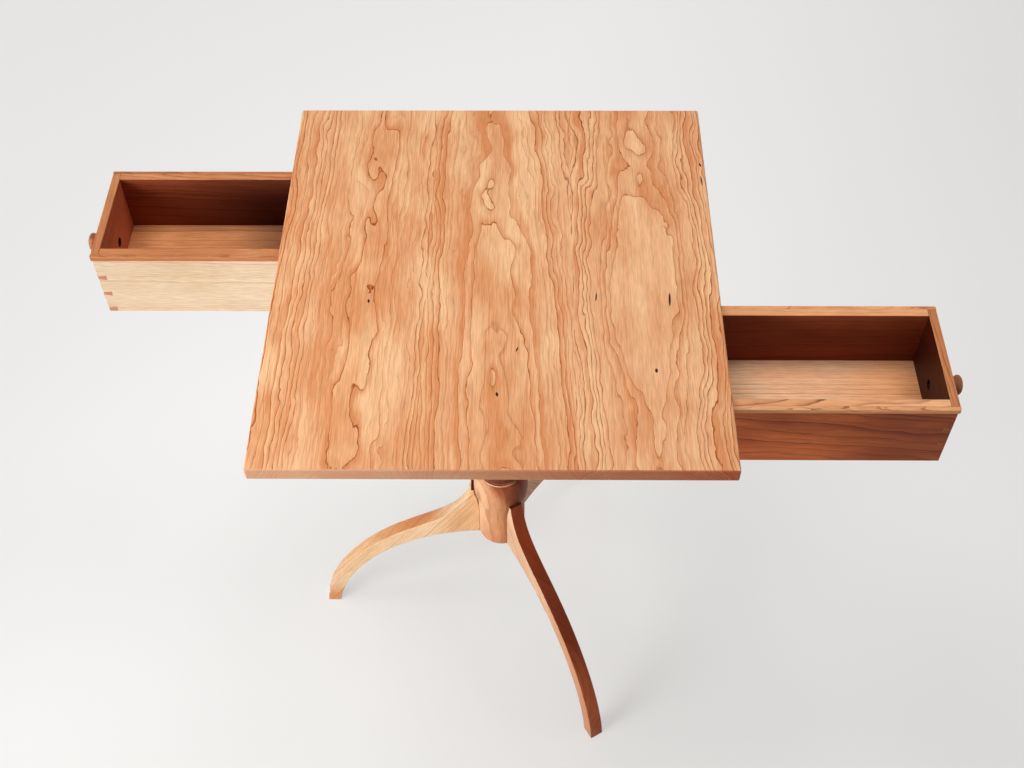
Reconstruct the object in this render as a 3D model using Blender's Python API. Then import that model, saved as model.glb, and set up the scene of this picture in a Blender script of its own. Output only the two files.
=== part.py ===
"""Shaker sewing stand in cherry: a flat top on a turned post with three arched legs, and two drawers
that hang by their lips under the top and slide out at either end.

Metres, +Z up. The floor is z = 0. X is the way the drawers run and Y goes from front to back. The
origin is the middle of the footprint with the drawers drawn out as they are modelled.
"""

import math

import bmesh
import bpy
from mathutils import Matrix

# Top
STAND_HEIGHT = 0.6675
TOP_WIDTH = 0.4572
TOP_DEPTH = 0.508
TOP_THICKNESS = 0.0155
TOP_EDGE_ROUND = 0.0018

# Fits
GLUE_GAP = 0.0002
RUN_GAP = 0.0005
CUT_OVERRUN = 0.002

# Drawers
DRAWER_LENGTH = 0.419
DRAWER_WIDTH = 0.126
DRAWER_HEIGHT = 0.090
DRAWER_SPACING = 0.076
REAR_PULL = -0.2255
FRONT_PULL = 0.242
SIDE_THICKNESS = 0.009
END_THICKNESS = 0.009
BOTTOM_THICKNESS = 0.0064
BOTTOM_RISE = 0.012
GROOVE_DEPTH = 0.004
LIP_OVERHANG = 0.005
LIP_THICKNESS = 0.006
LIP_ROUND = 0.0015
LIP_HEADROOM = 0.0023
EDGE_EASE = 0.0008

# Dovetails of the drawer corners
TAIL_COUNT = 3
LOWEST_PIN_RISE = 0.0035
PIN_SPACING = 0.025
TOP_PIN_DROP = 0.0035
PIN_TIP_WIDTH = 0.0038
PIN_SLOPE = 0.15

# Knobs
KNOB_RADIUS = 0.0105
KNOB_PROJECTION = 0.025
KNOB_DOME = 0.0045
KNOB_RIM = 0.0012
KNOB_COLLAR_RADIUS = 0.0064
KNOB_NECK_RADIUS = 0.0048
KNOB_NECK_OUT = 0.0075
KNOB_HOLE_RADIUS = 0.0054
KNOB_TENON_LENGTH = 0.0045
KNOB_STEPS = 20

# Hangers under the top
HANGER_INSET = 0.0186
HANGER_WIDTH = 0.016
LEDGE_THICKNESS = 0.007
CLEAT_DEPTH = 0.028

# Screws
SCREW_HEAD_RADIUS = 0.0036
SCREW_HEAD_HEIGHT = 0.0024
SCREW_SHANK_RADIUS = 0.0018
SCREW_BITE = 0.009
SCREW_SINK = 0.0004
SCREW_END_MARGIN = 0.038
CLEAT_SCREWS = 4
HANGER_SCREWS = 3
SCREW_STEPS = 12

# Post, from the floor up
POST_CLEARANCE = 0.1803
SEAT_RADIUS = 0.0299
SEAT_LENGTH = 0.0627
FOOT_ROUND = 0.002
SWELL_RADIUS = 0.0343
FLARE_LENGTH = 0.034
CROWN_LENGTH = 0.031
RING_RADIUS = 0.0284
RING_WIDTH = 0.003
SHAFT_FOOT_RADIUS = 0.0252
SHAFT_BELLY_RADIUS = 0.0264
SHAFT_BELLY_RISE = 0.045
NECK_RADIUS = 0.0145
BEAD_RADIUS = 0.0178
BEAD_WIDTH = 0.006
CAPITAL_RADIUS = 0.026
CAPITAL_BAND = 0.006
CAPITAL_HEIGHT = 0.036
TENON_RADIUS = 0.0125
WEDGE_DEPTH = 0.016
WEDGE_TOP = 0.0034
WEDGE_TIP = 0.0012
POST_STEPS = 40

# Sliding dovetails between the legs and the post
SOCKET_DEPTH = 0.0115
SOCKET_NECK = 0.0084
SOCKET_WIDTH = 0.012
SOCKET_STOP = 0.004

# Legs
LEG_COUNT = 3
LEG_NAMES = ("left_leg", "front_leg", "rear_leg")
FIRST_LEG_ANGLE = 180.6
LEG_THICKNESS = 0.0175
LEG_REACH = 0.2485
FOOT_LENGTH = 0.0174
KNEE_RADIUS = 0.131
KNEE_DROP = 0.0020
KNEE_SLOPE = 0.56
KNEE_HANDLE_DOWN = 0.0785
KNEE_HANDLE_UP = 0.0633
TOE_LEAN = 0.10
TOE_HANDLE = 0.063
TIP_RISE = 0.0305
TIP_GAP = 0.0003
TIP_WIDTH = 0.0046
TIP_LEAN = 0.16
TIP_HANDLE = 0.056
HEEL_LEAN = 0.16
HEEL_HANDLE = 0.0885
ARCH_LEAN = 0.03
ARCH_HANDLE = 0.1115
CURVE_STEPS = 12

# Colours, linear, with the roughness of an oiled surface
CHERRY_TOP = (0.66, 0.33, 0.155)
CHERRY_MID = (0.50, 0.215, 0.095)
CHERRY_DARK = (0.26, 0.085, 0.038)
CHERRY_SAP = (0.80, 0.56, 0.34)
STEEL = (0.45, 0.44, 0.42)
WOOD_ROUGHNESS = 0.45
STEEL_ROUGHNESS = 0.35

# Levels and places that follow from the sizes above
UNDERSIDE = STAND_HEIGHT - TOP_THICKNESS
DRAWER_TOP = UNDERSIDE - LIP_HEADROOM
DRAWER_FLOOR = DRAWER_TOP - DRAWER_HEIGHT
LEDGE_TOP = DRAWER_TOP - LIP_THICKNESS - RUN_GAP
LEDGE_BOTTOM = LEDGE_TOP - LEDGE_THICKNESS
CLEAT_BOTTOM = UNDERSIDE - CLEAT_DEPTH
INNER_FACE = DRAWER_SPACING / 2
OUTER_FACE = INNER_FACE + DRAWER_WIDTH
DRAWER_Y = (INNER_FACE + OUTER_FACE) / 2
HALF_LENGTH = DRAWER_LENGTH / 2
HALF_WIDTH = DRAWER_WIDTH / 2
HALF_HANGER = TOP_WIDTH / 2 - HANGER_INSET
HANGER_Y = OUTER_FACE + LIP_OVERHANG + RUN_GAP + HANGER_WIDTH / 2
SEAT_TOP = POST_CLEARANCE + SEAT_LENGTH
SEAT_FLAT = math.sqrt(SEAT_RADIUS**2 - (LEG_THICKNESS / 2 + GLUE_GAP) ** 2)
LEG_BACK = SEAT_FLAT + GLUE_GAP
SOCKET_TOP = SEAT_TOP - SOCKET_STOP
POST_SHOULDER = CLEAT_BOTTOM - GLUE_GAP
TENON_TOP = UNDERSIDE - 2 * GLUE_GAP


def clear_scene():
    """Remove every object that the scene starts with."""
    for old in list(bpy.data.objects):
        bpy.data.objects.remove(old, do_unlink=True)


def add_empty(name, parent, location):
    """An empty that carries the pieces of one assembly."""
    empty = bpy.data.objects.new(name, None)
    bpy.context.scene.collection.objects.link(empty)
    empty.parent = parent
    empty.location = location
    return empty


def add_object(name, shape, parent, turn=0.0):
    """Turn a bmesh into an object under a parent, with its faces pointing out."""
    bmesh.ops.recalc_face_normals(shape, faces=shape.faces)
    mesh = bpy.data.meshes.new(name)
    shape.to_mesh(mesh)
    shape.free()
    made = bpy.data.objects.new(name, mesh)
    bpy.context.scene.collection.objects.link(made)
    made.parent = parent
    made.rotation_euler.z = turn
    return made


def add_piece(name, shape, parent, colour=CHERRY_MID, turn=0.0):
    """A visible piece with its own wood finish."""
    piece = add_object(name, shape, parent, turn)
    finish(piece, colour, WOOD_ROUGHNESS, 0.0)
    return piece


def add_cutter(name, shape, parent, turn=0.0):
    """A shape that only cuts others."""
    cutter = add_object(name, shape, parent, turn)
    cutter.hide_render = True
    cutter.display_type = "WIRE"
    return cutter


def finish(piece, colour, roughness, metallic):
    """Give a piece its own material."""
    material = bpy.data.materials.new(f"{piece.name}_finish")
    material.use_nodes = True
    shader = material.node_tree.nodes["Principled BSDF"]
    shader.inputs["Base Color"].default_value = (*colour, 1.0)
    shader.inputs["Roughness"].default_value = roughness
    shader.inputs["Metallic"].default_value = metallic
    piece.data.materials.append(material)


def combine(piece, other, operation):
    """Add a Boolean that joins another object to a piece or cuts it out."""
    modifier = piece.modifiers.new(f"{operation.lower()}_{other.name}", "BOOLEAN")
    modifier.operation = operation
    modifier.solver = "EXACT"
    modifier.object = other


def soften(piece, width, segments, weighted=False):
    """Round the edges of a piece, all of them or those that carry a bevel weight."""
    modifier = piece.modifiers.new("softened_edges", "BEVEL")
    modifier.width = width
    modifier.segments = segments
    modifier.limit_method = "WEIGHT" if weighted else "ANGLE"


def shade_round(piece):
    """Shade a turned or curved piece smooth, with crisp arrises."""
    piece.data.shade_smooth()
    piece.data.set_sharp_from_angle(angle=math.radians(35))


def add_box(shape, low, high):
    """Add a box to a bmesh between two corners and return its vertices."""
    size = [b - a for a, b in zip(low, high)]
    middle = [(a + b) / 2 for a, b in zip(low, high)]
    place = Matrix.Translation(middle) @ Matrix.Diagonal((*size, 1.0))
    return bmesh.ops.create_cube(shape, size=1.0, matrix=place)["verts"]


def box(low, high):
    """A bmesh that holds one box."""
    shape = bmesh.new()
    add_box(shape, low, high)
    return shape


def weigh_edges(shape, wanted):
    """Mark for rounding the edges whose middle passes a test."""
    layer = shape.edges.layers.float.new("bevel_weight_edge")
    for edge in shape.edges:
        middle = (edge.verts[0].co + edge.verts[1].co) / 2
        if wanted(middle):
            edge[layer] = 1.0


def add_prism(shape, outline, lift, span):
    """Extrude a flat outline: lift turns an outline point and a depth into a place in space."""
    start = [shape.verts.new(lift(point, span[0])) for point in outline]
    face = shape.faces.new(start)
    grown = bmesh.ops.extrude_face_region(shape, geom=[face])["geom"]
    for vertex in grown:
        if isinstance(vertex, bmesh.types.BMVert):
            vertex.co = lift(outline[nearest(vertex, start)], span[1])


def nearest(vertex, start):
    """The index of the outline point that an extruded vertex came from."""
    return min(range(len(start)), key=lambda i: (start[i].co - vertex.co).length)


def from_xz(point, depth):
    """Outline in XZ, extruded along Y."""
    return (point[0], depth, point[1])


def from_yz(point, depth):
    """Outline in YZ, extruded along X."""
    return (depth, point[0], point[1])


def from_xy(point, depth):
    """Outline in XY, extruded along Z."""
    return (point[0], point[1], depth)


def prism(outline, lift, span):
    """A bmesh that holds one extruded outline."""
    shape = bmesh.new()
    add_prism(shape, outline, lift, span)
    return shape


def add_turning(shape, profile, steps, place=Matrix.Identity(4)):
    """Spin a profile of (radius, height) points about Z and put the result in its place."""
    turning = bmesh.new()
    points = [turning.verts.new((radius, 0.0, height)) for radius, height in profile]
    for first, second in zip(points, points[1:]):
        turning.edges.new((first, second))
    geometry = turning.verts[:] + turning.edges[:]
    bmesh.ops.spin(
        turning, geom=geometry, cent=(0, 0, 0), axis=(0, 0, 1), angle=2 * math.pi, steps=steps, use_merge=True
    )
    bmesh.ops.remove_doubles(turning, verts=turning.verts, dist=1e-6)
    bmesh.ops.recalc_face_normals(turning, faces=turning.faces)
    turning.transform(place)
    mesh = bpy.data.meshes.new("turning")
    turning.to_mesh(mesh)
    turning.free()
    shape.from_mesh(mesh)
    bpy.data.meshes.remove(mesh)


def turned(profile, steps, place=Matrix.Identity(4)):
    """A bmesh that holds one turning."""
    shape = bmesh.new()
    add_turning(shape, profile, steps, place)
    return shape


def curve(start, start_handle, end_handle, end, steps=CURVE_STEPS):
    """Points of a cubic curve in a plane, both ends included."""
    points = []
    for i in range(steps + 1):
        t = i / steps
        weights = ((1 - t) ** 3, 3 * t * (1 - t) ** 2, 3 * t * t * (1 - t), t**3)
        corners = (start, start_handle, end_handle, end)
        points.append(tuple(sum(w * c[k] for w, c in zip(weights, corners)) for k in (0, 1)))
    return points


def arc(centre, radii, first, last, steps):
    """Points of an ellipse's arc in a plane, angles in degrees, both ends included."""
    points = []
    for i in range(steps + 1):
        angle = math.radians(first + (last - first) * i / steps)
        points.append((centre[0] + radii[0] * math.cos(angle), centre[1] + radii[1] * math.sin(angle)))
    return points


def without_repeats(points):
    """The points with any that repeats the one before it left out."""
    kept = [points[0]]
    for point in points[1:]:
        if math.dist(point, kept[-1]) > 1e-6:
            kept.append(point)
    return kept


# Top, hangers and screws


def screw_places():
    """Name, x, y and level of the underside for each screw that holds a hanger to the top."""
    places = []
    reach = HALF_HANGER - SCREW_END_MARGIN
    rows = (
        ("cleat_screw", CLEAT_SCREWS, 0.0, CLEAT_BOTTOM),
        ("rear_hanger_screw", HANGER_SCREWS, HANGER_Y, LEDGE_BOTTOM),
        ("front_hanger_screw", HANGER_SCREWS, -HANGER_Y, LEDGE_BOTTOM),
    )
    for name, count, y, level in rows:
        for i in range(count):
            x = -reach + 2 * reach * i / (count - 1)
            places.append((f"{name}_{i + 1}", x, y, level))
    return places


def screw_profile(level, grow):
    """Outline of a flat-headed screw, head down, from its point to its head."""
    head = level + SCREW_SINK
    neck = head + SCREW_HEAD_HEIGHT
    point = UNDERSIDE + SCREW_BITE
    opening = level - CUT_OVERRUN if grow else head
    return [
        (0.0, point + grow),
        (SCREW_SHANK_RADIUS + grow, point - SCREW_SHANK_RADIUS + grow),
        (SCREW_SHANK_RADIUS + grow, neck),
        (SCREW_HEAD_RADIUS + grow, head),
        (SCREW_HEAD_RADIUS + grow, opening),
        (0.0, opening),
    ]


def build_screws(stand):
    """The screws, and one cutter that makes all their holes."""
    holes = bmesh.new()
    for name, x, y, level in screw_places():
        place = Matrix.Translation((x, y, 0.0))
        profile = without_repeats(screw_profile(level, 0.0))
        screw = add_object(name, turned(profile, SCREW_STEPS, place), stand)
        finish(screw, STEEL, STEEL_ROUGHNESS, 1.0)
        add_turning(holes, screw_profile(level, GLUE_GAP), SCREW_STEPS, place)
    return add_cutter("screw_holes", holes, stand)


def build_top(stand, screw_holes):
    """The top, with softened edges and pilot holes in its underside."""
    half = (TOP_WIDTH / 2, TOP_DEPTH / 2)
    shape = box((-half[0], -half[1], UNDERSIDE), (half[0], half[1], STAND_HEIGHT))
    top = add_piece("top", shape, stand, CHERRY_TOP)
    soften(top, TOP_EDGE_ROUND, 3)
    combine(top, screw_holes, "DIFFERENCE")


def build_outer_hangers(stand, screw_holes):
    """The L-shaped rails that carry the drawers' outer lips."""
    ledge = OUTER_FACE + RUN_GAP
    wall = HANGER_Y - HANGER_WIDTH / 2
    back = HANGER_Y + HANGER_WIDTH / 2
    ceiling = UNDERSIDE - GLUE_GAP
    for name, side in (("rear_hanger", 1), ("front_hanger", -1)):
        outline = [
            (side * ledge, LEDGE_BOTTOM),
            (side * back, LEDGE_BOTTOM),
            (side * back, ceiling),
            (side * wall, ceiling),
            (side * wall, LEDGE_TOP),
            (side * ledge, LEDGE_TOP),
        ]
        hanger = add_piece(name, prism(outline, from_yz, (-HALF_HANGER, HALF_HANGER)), stand)
        combine(hanger, screw_holes, "DIFFERENCE")


def build_centre_cleat(stand, screw_holes):
    """The cleat between the drawers: rabbeted for the inner lips and bored for the post."""
    ledge = INNER_FACE - RUN_GAP
    wall = INNER_FACE - LIP_OVERHANG - RUN_GAP
    ceiling = UNDERSIDE - GLUE_GAP
    outline = [
        (-ledge, CLEAT_BOTTOM),
        (ledge, CLEAT_BOTTOM),
        (ledge, LEDGE_TOP),
        (wall, LEDGE_TOP),
        (wall, ceiling),
        (-wall, ceiling),
        (-wall, LEDGE_TOP),
        (-ledge, LEDGE_TOP),
    ]
    cleat = add_piece("centre_cleat", prism(outline, from_yz, (-HALF_HANGER, HALF_HANGER)), stand)
    bore_radius = TENON_RADIUS + GLUE_GAP
    low = CLEAT_BOTTOM - CUT_OVERRUN
    high = UNDERSIDE + CUT_OVERRUN
    bore = turned([(0.0, high), (bore_radius, high), (bore_radius, low), (0.0, low)], POST_STEPS)
    combine(cleat, add_cutter("tenon_bore", bore, stand), "DIFFERENCE")
    combine(cleat, screw_holes, "DIFFERENCE")


# Post and legs


def post_profile():
    """Turned outline of the post from the top of its tenon down to its underside."""
    flare_top = SEAT_TOP + FLARE_LENGTH
    crown_top = flare_top + CROWN_LENGTH
    ring_top = crown_top + RING_WIDTH
    band_low = POST_SHOULDER - CAPITAL_BAND
    neck_high = POST_SHOULDER - CAPITAL_HEIGHT
    neck_low = neck_high - BEAD_WIDTH
    belly = ring_top + SHAFT_BELLY_RISE
    taper = (neck_low - belly) / 3
    points = [(0.0, TENON_TOP), (TENON_RADIUS, TENON_TOP), (TENON_RADIUS, POST_SHOULDER)]
    points += [(CAPITAL_RADIUS, POST_SHOULDER)]
    cove = (neck_high - band_low) / 2
    points += curve(
        (CAPITAL_RADIUS, band_low), (CAPITAL_RADIUS, band_low + cove), (NECK_RADIUS, neck_high - cove),
        (NECK_RADIUS, neck_high),
    )
    bead_depth = BEAD_RADIUS - NECK_RADIUS
    points += arc((NECK_RADIUS, (neck_high + neck_low) / 2), (bead_depth, BEAD_WIDTH / 2), 90, -90, 6)
    points += curve(
        (NECK_RADIUS, neck_low), (NECK_RADIUS, neck_low - taper), (SHAFT_BELLY_RADIUS, belly + taper),
        (SHAFT_BELLY_RADIUS, belly),
    )
    points += curve(
        (SHAFT_BELLY_RADIUS, belly), (SHAFT_BELLY_RADIUS, belly - SHAFT_BELLY_RISE / 2),
        (SHAFT_FOOT_RADIUS, ring_top + SHAFT_BELLY_RISE / 4), (SHAFT_FOOT_RADIUS, ring_top), 5,
    )
    ring_depth = RING_WIDTH / 2
    points += arc((RING_RADIUS - ring_depth, ring_top - ring_depth), (ring_depth, ring_depth), 90, -90, 6)
    crown = SWELL_RADIUS - RING_RADIUS + ring_depth
    points += arc((SWELL_RADIUS - crown, flare_top), (crown, CROWN_LENGTH), 90, 0, 8)
    points += curve(
        (SWELL_RADIUS, flare_top), (SWELL_RADIUS, flare_top - FLARE_LENGTH / 2),
        (SEAT_RADIUS, SEAT_TOP + FLARE_LENGTH / 2), (SEAT_RADIUS, SEAT_TOP),
    )
    points += arc((SEAT_RADIUS - FOOT_ROUND, POST_CLEARANCE + FOOT_ROUND), (FOOT_ROUND, FOOT_ROUND), 0, -90, 3)
    points += [(0.0, POST_CLEARANCE)]
    return without_repeats(points)


def leg_angles():
    """The angle of each leg about the post, in radians."""
    return [math.radians(FIRST_LEG_ANGLE + 360 * i / LEG_COUNT) for i in range(LEG_COUNT)]


def socket_outline(grow, reach):
    """Dovetail of a leg's tenon, or of its socket when grown, out to a given radius."""
    root = SEAT_FLAT - SOCKET_DEPTH - grow
    half_root = SOCKET_WIDTH / 2 + grow
    half_neck = SOCKET_NECK / 2 + grow
    return [
        (root, -half_root),
        (SEAT_FLAT, -half_neck),
        (reach, -half_neck),
        (reach, half_neck),
        (SEAT_FLAT, half_neck),
        (root, half_root),
    ]


def build_post(stand):
    """The post, with a flat and a dovetail socket for each leg and a kerf for the wedge."""
    post = add_piece("post", turned(post_profile(), POST_STEPS), stand)
    low = POST_CLEARANCE - CUT_OVERRUN
    reach = SEAT_RADIUS + CUT_OVERRUN
    flats = bmesh.new()
    sockets = bmesh.new()
    half_flat = LEG_THICKNESS / 2 + GLUE_GAP
    flat = [(SEAT_FLAT, -half_flat), (reach, -half_flat), (reach, half_flat), (SEAT_FLAT, half_flat)]
    for angle in leg_angles():
        turn = Matrix.Rotation(angle, 4, "Z")
        for shape, outline, high in ((flats, flat, SEAT_TOP), (sockets, socket_outline(GLUE_GAP, reach), SOCKET_TOP)):
            new = prism(outline, from_xy, (low, high))
            new.transform(turn)
            join(shape, new)
    combine(post, add_cutter("leg_flats", flats, stand), "DIFFERENCE")
    combine(post, add_cutter("leg_sockets", sockets, stand), "DIFFERENCE")
    length = TENON_RADIUS + CUT_OVERRUN
    kerf = prism(wedge_outline(GLUE_GAP, CUT_OVERRUN), from_xz, (-length, length))
    combine(post, add_cutter("wedge_kerf", kerf, stand), "DIFFERENCE")
    shade_round(post)


def join(shape, other):
    """Move the content of one bmesh into another."""
    bmesh.ops.recalc_face_normals(other, faces=other.faces)
    mesh = bpy.data.meshes.new("joined")
    other.to_mesh(mesh)
    other.free()
    shape.from_mesh(mesh)
    bpy.data.meshes.remove(mesh)


def wedge_outline(grow, overrun):
    """Taper of the wedge that spreads the post's tenon, seen from the front."""
    rise = TENON_TOP + overrun
    tip = TENON_TOP - WEDGE_DEPTH - grow
    half_tip = WEDGE_TIP / 2 + grow
    slope = (WEDGE_TOP - WEDGE_TIP) / 2 / WEDGE_DEPTH
    half_top = half_tip + slope * (rise - tip)
    return [(-half_tip, tip), (half_tip, tip), (half_top, rise), (-half_top, rise)]


def build_wedge(stand):
    """The wedge in the top of the post's tenon."""
    length = TENON_RADIUS - WEDGE_TIP
    add_piece("post_wedge", prism(wedge_outline(0.0, 0.0), from_xz, (-length, length)), stand, CHERRY_DARK)


def leg_outline():
    """Side view of a leg as (radius, height): toe, arched back, upswept tip, shoulder, hollow underside."""
    toe = (LEG_REACH, 0.0)
    heel = (LEG_REACH - FOOT_LENGTH, 0.0)
    knee = (KNEE_RADIUS, POST_CLEARANCE - KNEE_DROP)
    along = (math.cos(KNEE_SLOPE), -math.sin(KNEE_SLOPE))
    back_of_tip = SWELL_RADIUS + TIP_GAP
    tip = (back_of_tip + TIP_WIDTH, SEAT_TOP + TIP_RISE)
    end = (LEG_BACK, POST_CLEARANCE - GLUE_GAP)
    step = (SEAT_RADIUS + GLUE_GAP, SEAT_TOP - GLUE_GAP)
    points = curve(
        toe,
        (toe[0] - TOE_HANDLE * math.sin(TOE_LEAN), TOE_HANDLE * math.cos(TOE_LEAN)),
        (knee[0] + KNEE_HANDLE_DOWN * along[0], knee[1] + KNEE_HANDLE_DOWN * along[1]),
        knee,
    )
    points += curve(
        knee,
        (knee[0] - KNEE_HANDLE_UP * along[0], knee[1] - KNEE_HANDLE_UP * along[1]),
        (tip[0] + TIP_HANDLE * math.sin(TIP_LEAN), tip[1] - TIP_HANDLE * math.cos(TIP_LEAN)),
        tip,
    )
    flare_middle = SEAT_TOP + FLARE_LENGTH / 2
    points += curve((back_of_tip, tip[1]), (back_of_tip, flare_middle), (step[0], flare_middle), step, 6)
    points += [(LEG_BACK, step[1])]
    points += curve(
        end,
        (end[0] + ARCH_HANDLE * math.cos(ARCH_LEAN), end[1] - ARCH_HANDLE * math.sin(ARCH_LEAN)),
        (heel[0] - HEEL_HANDLE * math.sin(HEEL_LEAN), HEEL_HANDLE * math.cos(HEEL_LEAN)),
        heel,
    )
    return without_repeats(points)


def build_legs(stand):
    """The legs, each with the dovetail tenon that slides up into the post."""
    half = LEG_THICKNESS / 2
    overlap = LEG_BACK + CUT_OVERRUN
    for name, angle in zip(LEG_NAMES, leg_angles()):
        leg = add_piece(name, prism(leg_outline(), from_xz, (-half, half)), stand, CHERRY_MID, angle)
        span = (POST_CLEARANCE, SOCKET_TOP - GLUE_GAP)
        tenon = prism(socket_outline(0.0, overlap), from_xy, span)
        combine(leg, add_cutter(f"{name}_tenon", tenon, stand, angle), "UNION")
        shade_round(leg)


# Drawers


def pin_heights():
    """Height of the middle of each pin above the drawer's lower edge; the lip covers the top half pin."""
    pins = [LOWEST_PIN_RISE + PIN_SPACING * i for i in range(TAIL_COUNT)]
    return pins + [DRAWER_HEIGHT - TOP_PIN_DROP]


def pin_half_width(depth):
    """Half the width of a pin at a depth in from the drawer's end."""
    return PIN_TIP_WIDTH / 2 + PIN_SLOPE * depth


def side_outline():
    """Face of a drawer side as (x, z), with tails at both ends."""
    base = HALF_LENGTH - END_THICKNESS - GLUE_GAP
    waist = pin_half_width(END_THICKNESS + GLUE_GAP)
    tip = pin_half_width(0.0)
    pins = pin_heights()
    right = [(base, 0.0)]
    for low, high in zip(pins, pins[1:]):
        right += [(base, low + waist), (HALF_LENGTH, low + tip), (HALF_LENGTH, high - tip), (base, high - waist)]
    right += [(base, DRAWER_HEIGHT)]
    left = [(-x, z) for x, z in reversed(right)]
    return right + left


def tail_cutter():
    """The room for the tails of both sides in both ends, with a glue gap round each."""
    shape = bmesh.new()
    inner = HALF_LENGTH - END_THICKNESS - CUT_OVERRUN
    outer = HALF_LENGTH + CUT_OVERRUN
    pins = pin_heights()
    waist = pin_half_width(HALF_LENGTH - inner) - GLUE_GAP
    tip = pin_half_width(HALF_LENGTH - outer) - GLUE_GAP
    wall = HALF_WIDTH - SIDE_THICKNESS - GLUE_GAP
    for low, high in zip(pins, pins[1:]):
        for way in (-1, 1):
            outline = [
                (way * inner, low + waist),
                (way * outer, low + tip),
                (way * outer, high - tip),
                (way * inner, high - waist),
            ]
            for side in (-1, 1):
                new = prism(outline, from_xz, (side * wall, side * (HALF_WIDTH + CUT_OVERRUN)))
                join(shape, new)
    return shape


def bottom_box(grow):
    """The drawer's bottom, or the groove that holds it when grown."""
    x = HALF_LENGTH - END_THICKNESS + GROOVE_DEPTH - GLUE_GAP + grow
    y = HALF_WIDTH - SIDE_THICKNESS + GROOVE_DEPTH - GLUE_GAP + grow
    return box((-x, -y, BOTTOM_RISE - grow), (x, y, BOTTOM_RISE + BOTTOM_THICKNESS + grow))


def toward(way):
    """Turn a shape made along Z to lie along X, towards the drawer's right (1) or left (-1) end."""
    middle = Matrix.Translation((way * HALF_LENGTH, 0.0, DRAWER_HEIGHT / 2))
    return middle @ Matrix.Rotation(way * math.pi / 2, 4, "Y")


def knob_profile():
    """Turned outline of a knob as (radius, distance out of the drawer's end)."""
    rim_low = KNOB_PROJECTION - KNOB_DOME - KNOB_RIM
    rim_high = rim_low + KNOB_RIM
    tenon = KNOB_HOLE_RADIUS - GLUE_GAP
    points = arc((0.0, rim_high), (KNOB_RADIUS, KNOB_DOME), 90, 0, 7)
    points += curve(
        (KNOB_RADIUS, rim_low), (KNOB_RADIUS, rim_low - KNOB_RIM),
        (KNOB_NECK_RADIUS, KNOB_NECK_OUT + (rim_low - KNOB_NECK_OUT) / 2), (KNOB_NECK_RADIUS, KNOB_NECK_OUT), 7,
    )
    points += curve(
        (KNOB_NECK_RADIUS, KNOB_NECK_OUT), (KNOB_NECK_RADIUS, KNOB_NECK_OUT / 2),
        (KNOB_COLLAR_RADIUS, KNOB_NECK_OUT / 3), (KNOB_COLLAR_RADIUS, GLUE_GAP), 5,
    )
    points += [(tenon, GLUE_GAP), (tenon, -KNOB_TENON_LENGTH), (0.0, -KNOB_TENON_LENGTH)]
    return without_repeats(points)


def build_knobs(name, drawer):
    """The turned knobs at both ends, and a cutter for their holes."""
    holes = bmesh.new()
    for end, way in (("left", -1), ("right", 1)):
        knob = add_piece(f"{name}_{end}_knob", turned(knob_profile(), KNOB_STEPS, toward(way)), drawer)
        shade_round(knob)
        reach = END_THICKNESS + CUT_OVERRUN
        hole = [(0.0, CUT_OVERRUN), (KNOB_HOLE_RADIUS, CUT_OVERRUN), (KNOB_HOLE_RADIUS, -reach), (0.0, -reach)]
        add_turning(holes, hole, KNOB_STEPS, toward(way))
    return add_cutter(f"{name}_knob_holes", holes, drawer)


def build_ends(name, drawer, groove, knob_holes):
    """The two ends, cut for the sides' tails, the bottom and the knob."""
    tails = add_cutter(f"{name}_tail_room", tail_cutter(), drawer)
    for end, way in (("left", -1), ("right", 1)):
        faces = sorted((way * (HALF_LENGTH - END_THICKNESS), way * HALF_LENGTH))
        shape = box((faces[0], -HALF_WIDTH, 0.0), (faces[1], HALF_WIDTH, DRAWER_HEIGHT))
        weigh_edges(shape, lambda middle: middle.z > DRAWER_HEIGHT - EDGE_EASE and abs(middle.y) < EDGE_EASE)
        piece = add_piece(f"{name}_{end}_end", shape, drawer)
        soften(piece, EDGE_EASE, 2, weighted=True)
        for cutter in (tails, groove, knob_holes):
            combine(piece, cutter, "DIFFERENCE")


def build_sides(name, drawer, outward, groove):
    """The two sides with their tails, and the lip that hangs each of them."""
    for which, way in (("outer", outward), ("inner", -outward)):
        inside = way * (HALF_WIDTH - SIDE_THICKNESS)
        outside = way * HALF_WIDTH
        shape = prism(side_outline(), from_xz, (inside, outside))
        inside_edge = abs(inside) + EDGE_EASE
        weigh_edges(shape, lambda middle: middle.z > DRAWER_HEIGHT - EDGE_EASE and abs(middle.y) < inside_edge)
        side = add_piece(f"{name}_{which}_side", shape, drawer)
        soften(side, EDGE_EASE, 2, weighted=True)
        combine(side, groove, "DIFFERENCE")
        near = way * (HALF_WIDTH + GLUE_GAP)
        far = way * (HALF_WIDTH + LIP_OVERHANG)
        faces = sorted((near, far))
        lip_shape = box(
            (-HALF_LENGTH, faces[0], DRAWER_HEIGHT - LIP_THICKNESS), (HALF_LENGTH, faces[1], DRAWER_HEIGHT)
        )
        weigh_edges(lip_shape, lambda middle: abs(middle.y) > HALF_WIDTH + LIP_OVERHANG - EDGE_EASE)
        lip = add_piece(f"{name}_{which}_lip", lip_shape, drawer)
        soften(lip, LIP_ROUND, 2, weighted=True)


def build_drawer(stand, name, pull, outward):
    """One drawer: box, bottom, lips and knobs, carried by an empty on its line of travel."""
    drawer = add_empty(f"{name}_slide", stand, (pull, outward * DRAWER_Y, DRAWER_FLOOR))
    groove = add_cutter(f"{name}_groove", bottom_box(GLUE_GAP), drawer)
    knob_holes = build_knobs(name, drawer)
    build_ends(name, drawer, groove, knob_holes)
    build_sides(name, drawer, outward, groove)
    add_piece(f"{name}_bottom", bottom_box(0.0), drawer, CHERRY_SAP)


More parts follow.
